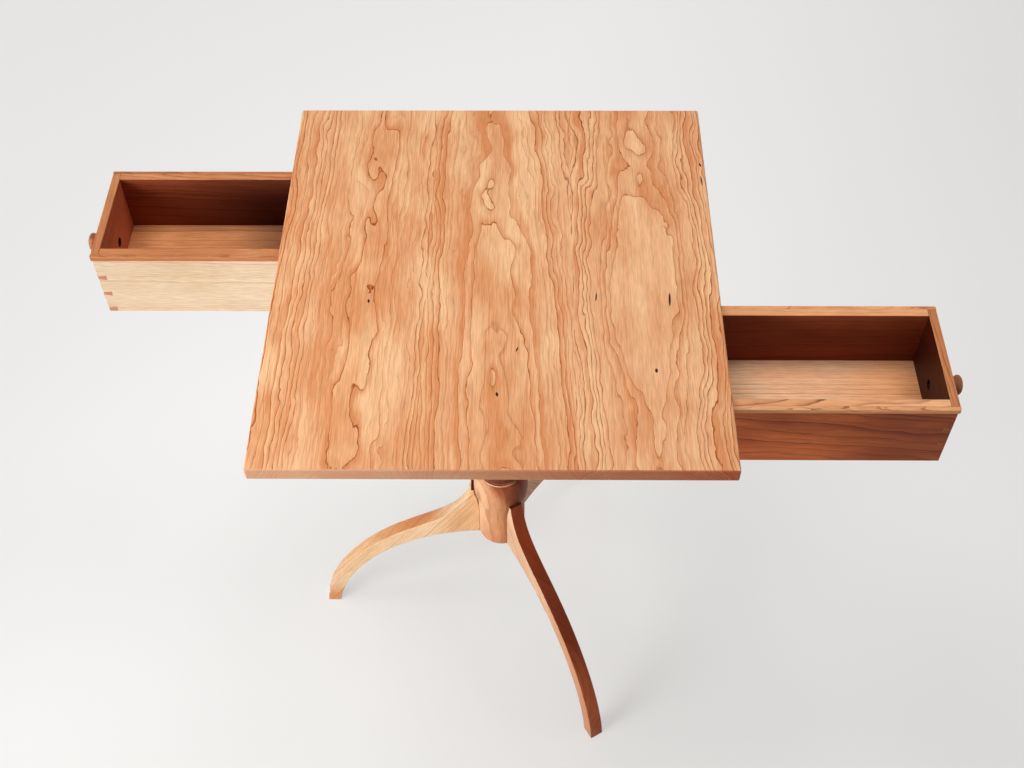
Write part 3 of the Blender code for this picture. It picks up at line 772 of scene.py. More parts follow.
class Bench:
    """Steps of hand modelling that the pieces share."""

    turned_bend: float = 32.0
    sawn_bend: float = 14.0
    curve_steps: int = 28
    arris_steps: int = 2

    @staticmethod
    def clear() -> None:
        """Go to object mode with nothing selected."""
        if bpy.context.mode != "OBJECT":
            bpy.ops.object.mode_set(mode="OBJECT")
        bpy.ops.object.select_all(action="DESELECT")

    @staticmethod
    def pick(piece: bpy.types.Object) -> None:
        """Select one piece alone and make it active.

        Args:
            piece: the piece.
        """
        Bench.clear()
        piece.select_set(True)
        bpy.context.view_layer.objects.active = piece

    @staticmethod
    def name(name: str) -> bpy.types.Object:
        """Name the piece at hand and its data.

        Args:
            name: the name.

        Returns:
            The piece.
        """
        piece = bpy.context.object
        piece.name = name
        piece.data.name = name
        return piece

    @staticmethod
    def apply() -> None:
        """Write the place of the piece at hand into its mesh."""
        bpy.ops.object.transform_apply(location=True, rotation=True, scale=True)

    @staticmethod
    @contextmanager
    def editing() -> Iterator[None]:
        """Edit the piece at hand with all of it selected, then go back to object mode.

        Returns:
            A context, in edit mode for as long as it lasts.
        """
        bpy.ops.object.mode_set(mode="EDIT")
        bpy.ops.mesh.select_all(action="SELECT")
        yield
        bpy.ops.object.mode_set(mode="OBJECT")

    @staticmethod
    def clean(angle: float) -> None:
        """Merge double points of the piece at hand, turn its faces outwards and smooth its soft bends.

        Args:
            angle: the sharpest bend that is smoothed, in degrees.
        """
        with Bench.editing():
            bpy.ops.mesh.remove_doubles(threshold=MERGE)
            bpy.ops.mesh.normals_make_consistent(inside=False)
        bpy.ops.object.shade_smooth_by_angle(angle=math.radians(angle))

    @staticmethod
    def settle(piece: bpy.types.Object, place: Triple, turn: Triple = ORIGIN) -> None:
        """Put a piece in its place and write that into its mesh.

        Args:
            piece: the piece, modelled at the origin.
            place: where it goes.
            turn: its turn about X, Y and Z.
        """
        piece.location = place
        piece.rotation_euler = turn
        Bench.pick(piece)
        Bench.apply()

    @staticmethod
    def block(name: str, low: Triple, high: Triple) -> bpy.types.Object:
        """A squared block between two corners.

        Args:
            name: its name.
            low: lowest corner.
            high: highest corner.

        Returns:
            The block.
        """
        Bench.clear()
        middle = [(a + b) / 2 for a, b in zip(low, high)]
        size = [b - a for a, b in zip(low, high)]
        bpy.ops.mesh.primitive_cube_add(size=1.0, location=middle, scale=size)
        piece = Bench.name(name)
        Bench.apply()
        return piece

    @staticmethod
    def spread(
        piece: bpy.types.Object, test: Callable[[Vector], bool], scale: Triple, lift: float = 0.0
    ) -> None:
        """Scale some points of a piece about the origin, and lift them.

        Args:
            piece: the piece at hand.
            test: tells from a point's place whether it moves.
            scale: scale along X, Y and Z.
            lift: how far they go up.
        """
        for vertex in piece.data.vertices:
            vertex.select = test(vertex.co)
        bpy.ops.object.mode_set(mode="EDIT")
        bpy.ops.mesh.select_mode(type="VERT")
        bpy.ops.transform.resize(value=scale, center_override=ORIGIN)
        bpy.ops.transform.translate(value=(0.0, 0.0, lift))
        bpy.ops.object.mode_set(mode="OBJECT")

    @staticmethod
    def turning(name: str, profile: list[Point], sides: int) -> bpy.types.Object:
        """Turn a round piece about Z: a disc is drawn up ring by ring and scaled at each step.

        Args:
            name: its name.
            profile: radius and height of each ring, from the bottom up.
            sides: corners of each ring.

        Returns:
            The turned piece.
        """
        Bench.clear()
        radius, height = profile[0]
        start = (0.0, 0.0, height)
        bpy.ops.mesh.primitive_circle_add(vertices=sides, radius=radius, fill_type="NGON", location=start)
        piece = Bench.name(name)
        Bench.apply()
        with Bench.editing():
            for next_radius, next_height in profile[1:]:
                climb = {"value": (0.0, 0.0, next_height - height)}
                bpy.ops.mesh.extrude_region_move(TRANSFORM_OT_translate=climb)
                ratio = next_radius / radius
                bpy.ops.transform.resize(value=(ratio, ratio, 1.0), center_override=(0.0, 0.0, next_height))
                radius, height = next_radius, next_height
        Bench.clean(Bench.turned_bend)
        return piece

    @staticmethod
    def sawn(name: str, corners: list[Corner], half: float, arris: float) -> bpy.types.Object:
        """Saw a board to a curved outline in XY and ease its arrises.

        Args:
            name: its name.
            corners: handle before, place and handle after of each corner.
            half: half the board's thickness, along Z.
            arris: radius of the eased edges.

        Returns:
            The board as a mesh.
        """
        Bench.clear()
        bpy.ops.curve.primitive_bezier_curve_add()
        outline = Bench.name(name).data
        outline.dimensions = "2D"
        outline.fill_mode = "BOTH"
        outline.extrude = half - arris
        outline.bevel_depth = arris
        outline.bevel_resolution = Bench.arris_steps
        outline.offset = -arris
        outline.resolution_u = Bench.curve_steps
        spline = outline.splines[0]
        spline.use_cyclic_u = True
        spline.bezier_points.add(len(corners) - len(spline.bezier_points))
        for knot, (before, place, after) in zip(spline.bezier_points, corners):
            knot.handle_left_type = "FREE"
            knot.handle_right_type = "FREE"
            knot.co = (*place, 0.0)
            knot.handle_left = (*before, 0.0)
            knot.handle_right = (*after, 0.0)
        bpy.ops.object.convert(target="MESH")
        Bench.clean(Bench.sawn_bend)
        return bpy.context.object

    @staticmethod
    def combine(piece: bpy.types.Object, other: bpy.types.Object, operation: str) -> None:
        """Join another shape to a piece or cut it out, and put the other away.

        Args:
            piece: the piece that stays.
            other: the shape that is used up.
            operation: UNION or DIFFERENCE.
        """
        Bench.pick(piece)
        modifier = piece.modifiers.new(operation.lower(), "BOOLEAN")
        modifier.operation = operation
        modifier.solver = "EXACT"
        modifier.object = other
        bpy.ops.object.modifier_apply(modifier=modifier.name)
        bpy.data.objects.remove(other, do_unlink=True)

    @staticmethod
    def soften(piece: bpy.types.Object, width: float, segments: int) -> None:
        """Round every edge of a squared piece.

        Args:
            piece: the piece.
            width: width of the rounding.
            segments: steps across it.
        """
        Bench.pick(piece)
        with Bench.editing():
            bpy.ops.mesh.bevel(offset=width, segments=segments, affect="EDGES")

    @staticmethod
    def copy(piece: bpy.types.Object, name: str) -> bpy.types.Object:
        """Copy a piece.

        Args:
            piece: the piece.
            name: the copy's name.

        Returns:
            The copy, with a mesh of its own.
        """
        twin = piece.copy()
        twin.data = piece.data.copy()
        twin.name = name
        twin.data.name = name
        bpy.context.scene.collection.objects.link(twin)
        return twin


def curve(start: Point, start_handle: Point, end_handle: Point, end: Point, steps: int) -> list[Point]:
    """Points of a cubic curve in a plane, both ends included.

    Args:
        start: first point.
        start_handle: its handle.
        end_handle: the last point's handle.
        end: last point.
        steps: number of steps.

    Returns:
        The points.
    """
    points = []
    corners = (start, start_handle, end_handle, end)
    for i in range(steps + 1):
        t = i / steps
        weights = ((1 - t) ** 3, 3 * t * (1 - t) ** 2, 3 * t * t * (1 - t), t**3)
        points.append(tuple(sum(w * c[k] for w, c in zip(weights, corners)) for k in (0, 1)))
    return points


def arc(centre: Point, radii: Point, first: float, last: float, steps: int) -> list[Point]:
    """Points of an ellipse's arc in a plane, both ends included.

    Args:
        centre: its centre.
        radii: its two half axes.
        first: first angle in degrees.
        last: last angle in degrees.
        steps: number of steps.

    Returns:
        The points.
    """
    points = []
    for i in range(steps + 1):
        angle = math.radians(first + (last - first) * i / steps)
        points.append((centre[0] + radii[0] * math.cos(angle), centre[1] + radii[1] * math.sin(angle)))
    return points


def beside(point: Point, way: Point, length: float) -> Point:
    """A point at some distance from another along a direction."""
    return point[0] + length * way[0], point[1] + length * way[1]


def upward(lean: float) -> Point:
    """Direction that goes up and leans inwards by an angle in radians."""
    return -math.sin(lean), math.cos(lean)


def outward(fall: float) -> Point:
    """Direction that goes outwards and falls by an angle in radians."""
    return math.cos(fall), -math.sin(fall)


def dress(piece: bpy.types.Object, finish: Cherry | Steel) -> None:
    """Give a piece its finish."""
    piece.data.materials.clear()
    piece.data.materials.append(finish.material())


def dress_node(node: str, finish: Cherry | Steel) -> None:
    """Give a node that keeps the frame's shape its finish."""
    dress(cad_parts[node], finish)
    LOG.info("%s is dressed in %s", node, finish.name)


def mark(piece: bpy.types.Object, finish: Cherry, test: Callable[[bpy.types.MeshPolygon], bool]) -> None:
    """Give some faces of a dressed piece a finish of their own.

    Args:
        piece: the piece.
        finish: the finish.
        test: tells which faces take it.
    """
    piece.data.materials.append(finish.material())
    for face in piece.data.polygons:
        if test(face):
            face.material_index = len(piece.data.materials) - 1


def stand_in(piece: bpy.types.Object, body: str, slot: str, *nodes: str) -> None:
    """Let a modelled piece stand for nodes of the frame and ride on their body.

    Args:
        piece: the piece.
        body: the body it rides on.
        slot: the record's material slot; not used.
        nodes: the nodes it replaces.
    """
    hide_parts(*nodes)
    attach(piece, body)
    LOG.info("%s stands for %s on %s", piece.name, ", ".join(nodes), body)


@dataclass
class Top:
    """The glued-up top with hand-rounded edges."""

    width: float = 0.4572
    depth: float = 0.508
    thickness: float = 0.0155
    height: float = 0.6675
    edge_round: float = 0.0018
    edge_steps: int = 5
    finish: CherryTop = CherryTop(
        name="cherry_top_boards",
        run=Grain.FRONT_TO_BACK.value,
        pale=(0.80, 0.425, 0.218),
        gold=(0.855, 0.505, 0.265),
        mid=(0.65, 0.248, 0.094),
        dark=(0.27, 0.055, 0.003),
        end=(0.56, 0.30, 0.185),
        end_slope=(0.10, 0.35),
        ring=0.0039,
        wander=0.014,
        kink=0.0060,
        ripple=0.0020,
        streak=1.0,
        seed=3.0,
        boards=(
            Figure(
                left=-0.2286, middle=-0.133, heart=0.040, first=0.0408, inner=0.010, lumps=0.013,
                slant=0.02, lump_length=0.09,
            ),
            Figure(
                left=-0.071, middle=0.000, heart=0.0417, first=0.0510, inner=0.0058, lumps=0.008,
                rise=0.042, slant=-0.04,
            ),
            Figure(
                left=0.079, middle=0.152, heart=0.042, first=0.0525, inner=0.030, lumps=0.006,
                dip=0.0122, dip_middle=-0.023, dip_reach=0.21,
            ),
        ),
        flecks=(
            Fleck(-0.129, -0.0445, 0.0026, 0.0060, 0.1),
            Fleck(-0.129, -0.0330, 0.0028, 0.0014),
            Fleck(0.1022, -0.0383, 0.0018, 0.0130, -0.1),
            Fleck(0.1768, -0.0414, 0.0026, 0.0210, -0.05),
            Fleck(0.1579, -0.1348, 0.0034, 0.0062),
            Fleck(0.0222, -0.1083, 0.0018, 0.0070, -0.3),
            Fleck(0.0033, -0.1648, 0.0030, 0.0062, 0.2),
            Fleck(0.2237, 0.1605, 0.0024, 0.0070, 0.3),
            Fleck(0.2233, 0.1348, 0.0016, 0.0170, 0.05),
        ),
    )

    def build(self) -> None:
        """Model the top and dress it."""
        low = (AXIS_X - self.width / 2, -self.depth / 2, self.height - self.thickness)
        high = (AXIS_X + self.width / 2, self.depth / 2, self.height)
        panel = Bench.block("top_panel", low, high)
        Bench.soften(panel, self.edge_round, self.edge_steps)
        dress(panel, self.finish)
        stand_in(panel, "stand", "cherry_top", "top")


@dataclass(frozen=True)
class LegWood:
    """Cherry tones of a leg's faces and edges, and where they change down the leg; the front leg's dark edge
    tones are painted shade.
    """

    name: str
    face: Tones
    face_foot: Tones
    face_toe: Tones
    edge: Tones
    edge_foot: Tones
    edge_tip: Tones
    dark: Colour
    foot_reach: Point = (0.06, 0.20)
    edge_reach: Point = (0.12, 0.21)


REAR_LEG_FACE = ((0.97, 0.58, 0.35), (0.80, 0.38, 0.20))
REAR_LEG_EDGE = ((0.92, 0.48, 0.27), (0.74, 0.32, 0.15))
LEG_WOODS = (
    LegWood(
        "left_leg",
        face=((0.90, 0.53, 0.27), (0.76, 0.38, 0.16)),
        face_foot=((0.98, 0.70, 0.43), (0.92, 0.555, 0.305)),
        face_toe=((0.87, 0.43, 0.195), (0.74, 0.30, 0.115)),
        edge=((0.68, 0.285, 0.11), (0.54, 0.19, 0.06)),
        edge_foot=((0.87, 0.555, 0.317), (0.69, 0.375, 0.175)),
        edge_tip=((0.83, 0.58, 0.37), (0.65, 0.39, 0.20)),
        dark=(0.52, 0.23, 0.085),
        foot_reach=(0.05, 0.10),
        edge_reach=(0.115, 0.20),
    ),
    LegWood(
        "front_leg",
        face=((0.76, 0.51, 0.32), (0.61, 0.34, 0.19)),
        face_foot=((0.64, 0.30, 0.157), (0.52, 0.205, 0.094)),
        face_toe=((0.64, 0.30, 0.157), (0.52, 0.205, 0.094)),
        # Painted shade: the front leg's edges are given dark tones for the top's shadow over them.
        edge=((0.27, 0.05, 0.017), (0.185, 0.031, 0.0105)),
        edge_foot=((0.66, 0.16, 0.053), (0.45, 0.095, 0.031)),
        edge_tip=((0.40, 0.068, 0.017), (0.28, 0.042, 0.010)),
        dark=(0.22, 0.055, 0.018),
        edge_reach=(0.17, 0.24),
    ),
    LegWood("rear_leg", *(REAR_LEG_FACE,) * 3, *(REAR_LEG_EDGE,) * 3, dark=(0.22, 0.07, 0.025)),
)


@dataclass
class Pedestal:
    """The turned post and the three legs that slide up into it."""

    clearance: float = 0.1803
    seat_radius: float = 0.0299
    seat_length: float = 0.0627
    foot_round: float = 0.002
    swell_radius: float = 0.0343
    flare_length: float = 0.034
    crown_length: float = 0.031
    ring_radius: float = 0.0284
    ring_width: float = 0.003
    shaft_foot_radius: float = 0.0252
    belly_radius: float = 0.0264
    belly_rise: float = 0.045
    neck_radius: float = 0.0145
    bead_radius: float = 0.0178
    bead_width: float = 0.006
    capital_radius: float = 0.026
    capital_band: float = 0.006
    capital_height: float = 0.036
    shoulder: float = 0.6238
    tenon_radius: float = 0.0125
    tenon_top: float = 0.6516
    kerf_tip: float = 0.0008
    kerf_top: float = 0.0019
    kerf_depth: float = 0.0162
    sides: int = 128

    leg_thickness: float = 0.0175
    leg_arris: float = 0.0008
    leg_reach: float = 0.2485
    foot_length: float = 0.0174
    first_angle: float = 180.6
    knee: Point = (0.131, 0.1783)
    knee_slope: float = 0.56
    knee_handles: Point = (0.0785, 0.0633)
    toe_lean: float = 0.10
    toe_handle: float = 0.063
    tip: Point = (0.0392, 0.2735)
    tip_back: float = 0.0346
    tip_ease: float = 0.0014
    tip_lean: float = 0.16
    tip_handle: float = 0.056
    heel_lean: float = 0.16
    heel_handle: float = 0.0885
    arch_lean: float = 0.03
    arch_handle: float = 0.1115
    gap: float = 0.0002
    socket_depth: float = 0.0115
    socket_neck: float = 0.0084
    socket_width: float = 0.012
    socket_stop: float = 0.004
    cut_past: float = 0.002
    tail_root: float = 0.003

    post_finish: Cherry = Cherry(
        name="cherry_post",
        run=Grain.UPRIGHT.value,
        pale=(0.76, 0.445, 0.255),
        mid=(0.55, 0.21, 0.093),
        # These fades are painted light and shade: the post darkens towards its right side, and the shaft and
        # ring carry painted shadow and a painted highlight.
        fades=(
            Fade(RIGHT, AXIS_X - 0.030, AXIS_X + 0.002, ((0.73, 0.335, 0.15), (0.55, 0.19, 0.072))),
            Fade(RIGHT, AXIS_X - 0.012, AXIS_X + 0.028, ((0.34, 0.085, 0.03), (0.25, 0.055, 0.018))),
            # Painted shadow of the top across the crown's right side.
            Fade(
                (1.0, 0.0, 1.0), AXIS_X + 0.280, AXIS_X + 0.305,
                ((0.43, 0.115, 0.045), (0.21, 0.045, 0.015)),
            ),
            # Painted highlight: a thin pale line on the ring.
            Fade(UP, 0.3080, 0.3083, ((0.86, 0.48, 0.29), (0.70, 0.33, 0.17))),
            # Painted shade on the right of the ring.
            Fade(RIGHT, AXIS_X + 0.008, AXIS_X + 0.022, ((0.34, 0.088, 0.033), (0.25, 0.057, 0.019))),
            # Painted shadow under the top on the shaft just above the ring.
            Fade(UP, 0.3106, 0.3118, ((0.20, 0.052, 0.022), (0.14, 0.032, 0.013))),
            # Higher up the shaft the painted shadow fades to a mid tone.
            Fade(UP, 0.322, 0.390, ((0.60, 0.26, 0.115), (0.44, 0.16, 0.065))),
        ),
        heart=(0.045, 0.03),
        lean=(0.02, 0.01),
        ring=0.006,
        streak=0.45,
        seed=11.0,
    )
    tip_edge_reach: Point = (0.105, 0.06)
    toe_reach: Point = (-0.055, -0.010)
    leg_end: Colour = (0.10, 0.03, 0.014)
    leg_seed: float = 20.0
    # Painted shade: the flat end of each leg's tip is near black, for the dark slot between the tip and the
    # post.
    tip_shade_finish: Cherry = Cherry(
        name="leg_tip_painted_shade", run=Grain.FLAT_LENGTHWISE.value, pale=(0.075, 0.016, 0.007),
        mid=(0.045, 0.010, 0.005), seed=27.0,
    )

    @property
    def seat_top(self) -> float:
        """Level where the straight seat of the legs ends."""
        return self.clearance + self.seat_length

    @property
    def flat(self) -> float:
        """Distance of the leg's flats from the post's axis."""
        return math.sqrt(self.seat_radius**2 - (self.leg_thickness / 2 + self.gap) ** 2)

    @property
    def angles(self) -> list[float]:
        """Angle of each leg about the post, in radians."""
        count = len(LEG_WOODS)
        return [math.radians(self.first_angle + 360.0 / count * i) for i in range(count)]

    def profile(self) -> list[Point]:
        """Rings of the post from its underside to the top of its tenon.

        Returns:
            Radius and height of each ring.
        """
        seat, swell_radius, belly_radius = self.seat_radius, self.swell_radius, self.belly_radius
        neck_radius, capital = self.neck_radius, self.capital_radius
        foot = (seat - self.foot_round, self.clearance + self.foot_round)
        swell = self.seat_top + self.flare_length
        flare = self.flare_length / 2
        ring_top = swell + self.crown_length + self.ring_width
        ring_half = self.ring_width / 2
        crown = swell_radius - self.ring_radius + ring_half
        belly = ring_top + self.belly_rise
        band = self.shoulder - self.capital_band
        neck = self.shoulder - self.capital_height
        neck_low = neck - self.bead_width
        taper = (neck_low - belly) / 3
        cove = (band - neck) / 2
        points = arc(foot, (self.foot_round,) * 2, -90, 0, steps=6)
        points += curve(
            (seat, self.seat_top), (seat, self.seat_top + flare),
            (swell_radius, swell - flare), (swell_radius, swell), steps=24,
        )
        points += arc((swell_radius - crown, swell), (crown, self.crown_length), 0, 90, steps=24)[1:]
        ring = (self.ring_radius - ring_half, ring_top - ring_half)
        points += arc(ring, (ring_half,) * 2, -90, 90, steps=10)[1:]
        points += curve(
            (self.shaft_foot_radius, ring_top), (self.shaft_foot_radius, ring_top + self.belly_rise / 4),
            (belly_radius, belly - self.belly_rise / 2), (belly_radius, belly), steps=10,
        )
        points += curve(
            (belly_radius, belly), (belly_radius, belly + taper),
            (neck_radius, neck_low - taper), (neck_radius, neck_low), steps=24,
        )[1:]
        bead = (self.bead_radius - neck_radius, self.bead_width / 2)
        points += arc((neck_radius, (neck + neck_low) / 2), bead, -90, 90, steps=12)[1:]
        points += curve(
            (neck_radius, neck), (neck_radius, neck + cove),
            (capital, band - cove), (capital, band), steps=16,
        )[1:]
        return points + [
            (capital, self.shoulder), (self.tenon_radius, self.shoulder), (self.tenon_radius, self.tenon_top),
        ]

    def dovetail(self, name: str, grow: float, reach: float, low: float, high: float) -> bpy.types.Object:
        """The tail of a leg, or the socket for it when grown, pointing along +X from the axis.

        Args:
            name: its name.
            grow: room added all round.
            reach: radius it runs out to.
            low: its lower end.
            high: its upper end.

        Returns:
            The tail.
        """
        root = self.flat - self.socket_depth - grow
        neck = self.socket_neck / 2 + grow
        tail = Bench.block(name, (root, -neck, low), (reach, neck, high))
        with Bench.editing():
            bpy.ops.mesh.bisect(plane_co=(self.flat, 0.0, 0.0), plane_no=RIGHT)
        widen = (self.socket_width / 2 + grow) / neck
        Bench.spread(tail, lambda place: place.x < root + grow + NEAR, (1.0, widen, 1.0))
        return tail

    def kerf(self) -> bpy.types.Object:
        """The tapered saw cut for the wedge in the tenon's top.

        Returns:
            A shape to cut with.
        """
        length = self.tenon_radius + self.cut_past
        tip = self.tenon_top - self.kerf_depth
        cut = Bench.block("kerf", (-self.kerf_tip, -length, tip), (self.kerf_tip, length, self.tenon_top))
        widen = self.kerf_top / self.kerf_tip
        Bench.spread(cut, lambda place: place.z > tip + NEAR, (widen, 1.0, 1.0), self.cut_past)
        return cut

    def build_post(self) -> None:
        """Turn the post, let in the legs and the wedge, and dress it."""
        post = Bench.turning("turned_post", self.profile(), self.sides)
        half = self.leg_thickness / 2 + self.gap
        low = self.clearance - self.cut_past
        reach = self.seat_radius + self.cut_past
        for angle in self.angles:
            for shape in (
                Bench.block("leg_flat", (self.flat, -half, low), (reach, half, self.seat_top)),
                self.dovetail("leg_socket", self.gap, reach, low, self.seat_top - self.socket_stop),
            ):
                Bench.settle(shape, ORIGIN, (0.0, 0.0, angle))
                Bench.combine(post, shape, "DIFFERENCE")
        Bench.combine(post, self.kerf(), "DIFFERENCE")
        Bench.pick(post)
        bpy.ops.object.shade_smooth_by_angle(angle=math.radians(Bench.turned_bend))
        Bench.settle(post, (AXIS_X, 0.0, 0.0))
        dress(post, self.post_finish)
        stand_in(post, "stand", "cherry", "post")

    def leg_corners(self) -> list[Corner]:
        """Corners and handles of a leg's side view, as radius and height.

        Returns:
            Handle before, place and handle after of each corner.
        """
        toe = (self.leg_reach, 0.0)
        heel = (self.leg_reach - self.foot_length, 0.0)
        fall = outward(self.knee_slope)
        down, up = self.knee_handles
        climb = upward(self.tip_lean)
        tip_out, tip_level = self.tip
        ease = self.tip_ease
        under = beside(self.tip, climb, -ease)
        crest = (tip_out - ease, tip_level)
        spine = (self.tip_back, tip_level)
        flare = self.seat_top + self.flare_length / 2
        step = (self.seat_radius + self.gap, self.seat_top - self.gap)
        seat = (self.flat + self.gap, self.seat_top - self.gap)
        end = (self.flat + self.gap, self.clearance - self.gap)
        return [
            (toe, toe, beside(toe, upward(self.toe_lean), self.toe_handle)),
            (beside(self.knee, fall, down), self.knee, beside(self.knee, fall, -up)),
            (beside(self.tip, climb, -self.tip_handle), under, beside(under, climb, ease / 2)),
            ((tip_out - ease / 2, tip_level), crest, crest),
            (spine, spine, (self.tip_back, flare)),
            ((step[0], flare), step, step),
            (seat, seat, seat),
            (end, end, beside(end, outward(self.arch_lean), self.arch_handle)),
            (beside(heel, upward(self.heel_lean), self.heel_handle), heel, heel),
        ]

    def leg_finish(self, wood: LegWood, angle: float, seed: float) -> Cherry:
        """Cherry whose grain runs down a leg from its tip to its toe.

        Args:
            wood: the leg's wood.
            angle: its angle about the post.
            seed: draw of its grain.

        Returns:
            The finish.
        """
        turn = Matrix.Rotation(angle, 3, "Z")
        along = turn @ Vector((self.leg_reach - self.tip[0], 0.0, -self.tip[1])).normalized()
        depth = turn @ Vector(BACK)
        out = turn @ Vector(RIGHT)
        shift = AXIS_X * out.x

        def outwards(reach: Point, tones: Tones) -> Fade:
            """A change of tone away from the post."""
            return Fade(tuple(out), shift + reach[0], shift + reach[1], tones)

        tip_start, tip_end = self.tip_edge_reach
        return LegCherry(
            name=f"cherry_{wood.name}",
            run=Run(tuple(along.cross(depth)), tuple(depth), tuple(along)),
            pale=wood.face[0],
            mid=wood.face[1],
            dark=wood.dark,
            rim=wood.edge,
            fades=(outwards(wood.foot_reach, wood.face_foot), Fade(DOWN, *self.toe_reach, wood.face_toe)),
            rim_fades=(
                outwards(wood.edge_reach, wood.edge_foot),
                Fade(tuple(-out), -shift - tip_start, -shift - tip_end, wood.edge_tip),
            ),
            end=self.leg_end,
            heart=(0.02, 0.11),
            lean=(0.06, 0.02),
            ring=0.005,
            streak=0.6,
            seed=seed,
        )

    def on_tip(self, face: bpy.types.MeshPolygon) -> bool:
        """Whether a face is the flat end of a leg's tip."""
        return face.normal.z > SQUARE and face.center.z > self.tip[1] - NEAR

    def build_legs(self) -> None:
        """Saw the legs, join their tails and dress them."""
        pattern = Bench.sawn("leg_pattern", self.leg_corners(), self.leg_thickness / 2, self.leg_arris)
        Bench.settle(pattern, ORIGIN, (math.pi / 2, 0.0, 0.0))
        high = self.seat_top - self.socket_stop - self.gap
        tail = self.dovetail("leg_tail", 0.0, self.flat + self.tail_root, self.clearance, high)
        Bench.combine(pattern, tail, "UNION")
        for number, (wood, angle) in enumerate(zip(LEG_WOODS, self.angles)):
            leg = Bench.copy(pattern, f"arched_{wood.name}")
            Bench.settle(leg, (AXIS_X, 0.0, 0.0), (0.0, 0.0, angle))
            dress(leg, self.leg_finish(wood, angle, self.leg_seed + number))
            mark(leg, self.tip_shade_finish, self.on_tip)
            stand_in(leg, "stand", "cherry", wood.name)
        bpy.data.objects.remove(pattern, do_unlink=True)

    def build(self) -> None:
        """Build the post and the legs."""
        self.build_post()
        self.build_legs()


@dataclass
class Drawer:
    """One dovetailed drawer: its boards keep the frame's shapes, its knobs are turned anew."""

    name: str
    boards: dict[str, Cherry]
    # The knobs' dark cherry tone is painted shade of their shaded backs.
    knob_finish: Cherry = Cherry(
        name="cherry_knob", run=Grain.LENGTHWISE.value, pale=(0.46, 0.20, 0.09),
        mid=(0.32, 0.12, 0.05), seed=31.0,
    )
    # Painted shade: the end of each knob's tenon, seen through its hole, is near black.
    tenon_shade_finish: Cherry = Cherry(
        name="knob_tenon_painted_shade", run=Grain.CROSSWISE.value, pale=(0.035, 0.013, 0.008),
        mid=(0.022, 0.008, 0.005), seed=33.0,
    )
    knob_radius: float = 0.0105
    knob_projection: float = 0.025
    knob_dome: float = 0.0045
    knob_rim: float = 0.0012
    collar_radius: float = 0.0064
    neck_radius: float = 0.0048
    neck_out: float = 0.0075
    tenon_radius: float = 0.0052
    tenon_length: float = 0.0045
    gap: float = 0.0002
    sides: int = 64

    def knob_profile(self) -> list[Point]:
        """Rings of a knob from the end of its tenon to its crown.

        Returns:
            Radius and distance out of the drawer's end of each ring.
        """
        neck, out = self.neck_radius, self.neck_out
        rim = self.knob_projection - self.knob_dome - self.knob_rim
        points = [(self.tenon_radius, -self.tenon_length), (self.tenon_radius, self.gap)]
        points += curve(
            (self.collar_radius, self.gap), (self.collar_radius, out / 3),
            (neck, out / 2), (neck, out), steps=10,
        )
        points += curve(
            (neck, out), (neck, out + (rim - out) / 2),
            (self.knob_radius, rim - self.knob_rim), (self.knob_radius, rim), steps=14,
        )[1:]
        return points + arc((0.0, rim + self.knob_rim), (self.knob_radius, self.knob_dome), 0, 88, steps=18)

    def build_knobs(self) -> None:
        """Turn both knobs and dress them."""
        for end, way in (("left", -1), ("right", 1)):
            low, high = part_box(f"{self.name}_{end}_end")
            face = high.x if way > 0 else low.x
            node = f"{self.name}_{end}_knob"
            knob = Bench.turning(f"turned_{node}", self.knob_profile(), self.sides)
            middle = (face, (low.y + high.y) / 2, (low.z + high.z) / 2)
            Bench.settle(knob, middle, (0.0, way * math.pi / 2, 0.0))
            dress(knob, self.knob_finish)
            inner = face - way * self.tenon_length
            mark(knob, self.tenon_shade_finish, lambda side, at=inner: abs(side.center.x - at) < NEAR)
            stand_in(knob, self.name, "cherry", node)

    def build(self) -> None:
        """Dress the boards and build the knobs."""
        for part, finish in self.boards.items():
            dress_node(f"{self.name}_{part}", finish)
        self.build_knobs()


@dataclass
class Hangers:
    """The cleat, the rails and the fastenings hidden under the top."""

    rails: tuple[str, ...] = ("centre_cleat", "rear_hanger", "front_hanger")
    screws: tuple[tuple[str, int], ...] = (("cleat", 4), ("rear_hanger", 3), ("front_hanger", 3))
    rail_finish: Cherry = Cherry(
        name="cherry_rail", run=Grain.FLAT_LENGTHWISE.value, pale=(0.58, 0.29, 0.14), seed=41.0
    )
    wedge_finish: Cherry = Cherry(
        name="cherry_wedge", run=Grain.UPRIGHT.value, pale=(0.30, 0.11, 0.05),
        mid=(0.22, 0.07, 0.03), seed=43.0,
    )
    screw_finish: Steel = Steel(name="dull_steel")

    def build(self) -> None:
        """Dress the rails, the wedge and the screws."""
        for node in self.rails:
            dress_node(node, self.rail_finish)
        dress_node("post_wedge", self.wedge_finish)
        for row, count in self.screws:
            for i in range(count):
                dress_node(f"{row}_screw_{i + 1}", self.screw_finish)


@dataclass(frozen=True)
class Lamp:
    """A soft square lamp: its place, side, watts, beam in degrees and the level it aims at."""

    name: str
    place: Triple
    size: float
    power: float
    spread: float
    aim: float

    def hang(self) -> None:
        """Hang the lamp."""
        Bench.clear()
        bpy.ops.object.light_add(type="AREA", location=self.place)
        lamp = Bench.name(self.name)
        lamp.data.shape = "SQUARE"
        lamp.data.size = self.size
        lamp.data.energy = self.power
        lamp.data.spread = math.radians(self.spread)
        ahead = Vector((0.0, 0.0, self.aim)) - Vector(self.place)
        lamp.rotation_euler = ahead.to_track_quat("-Z", "Y").to_euler()


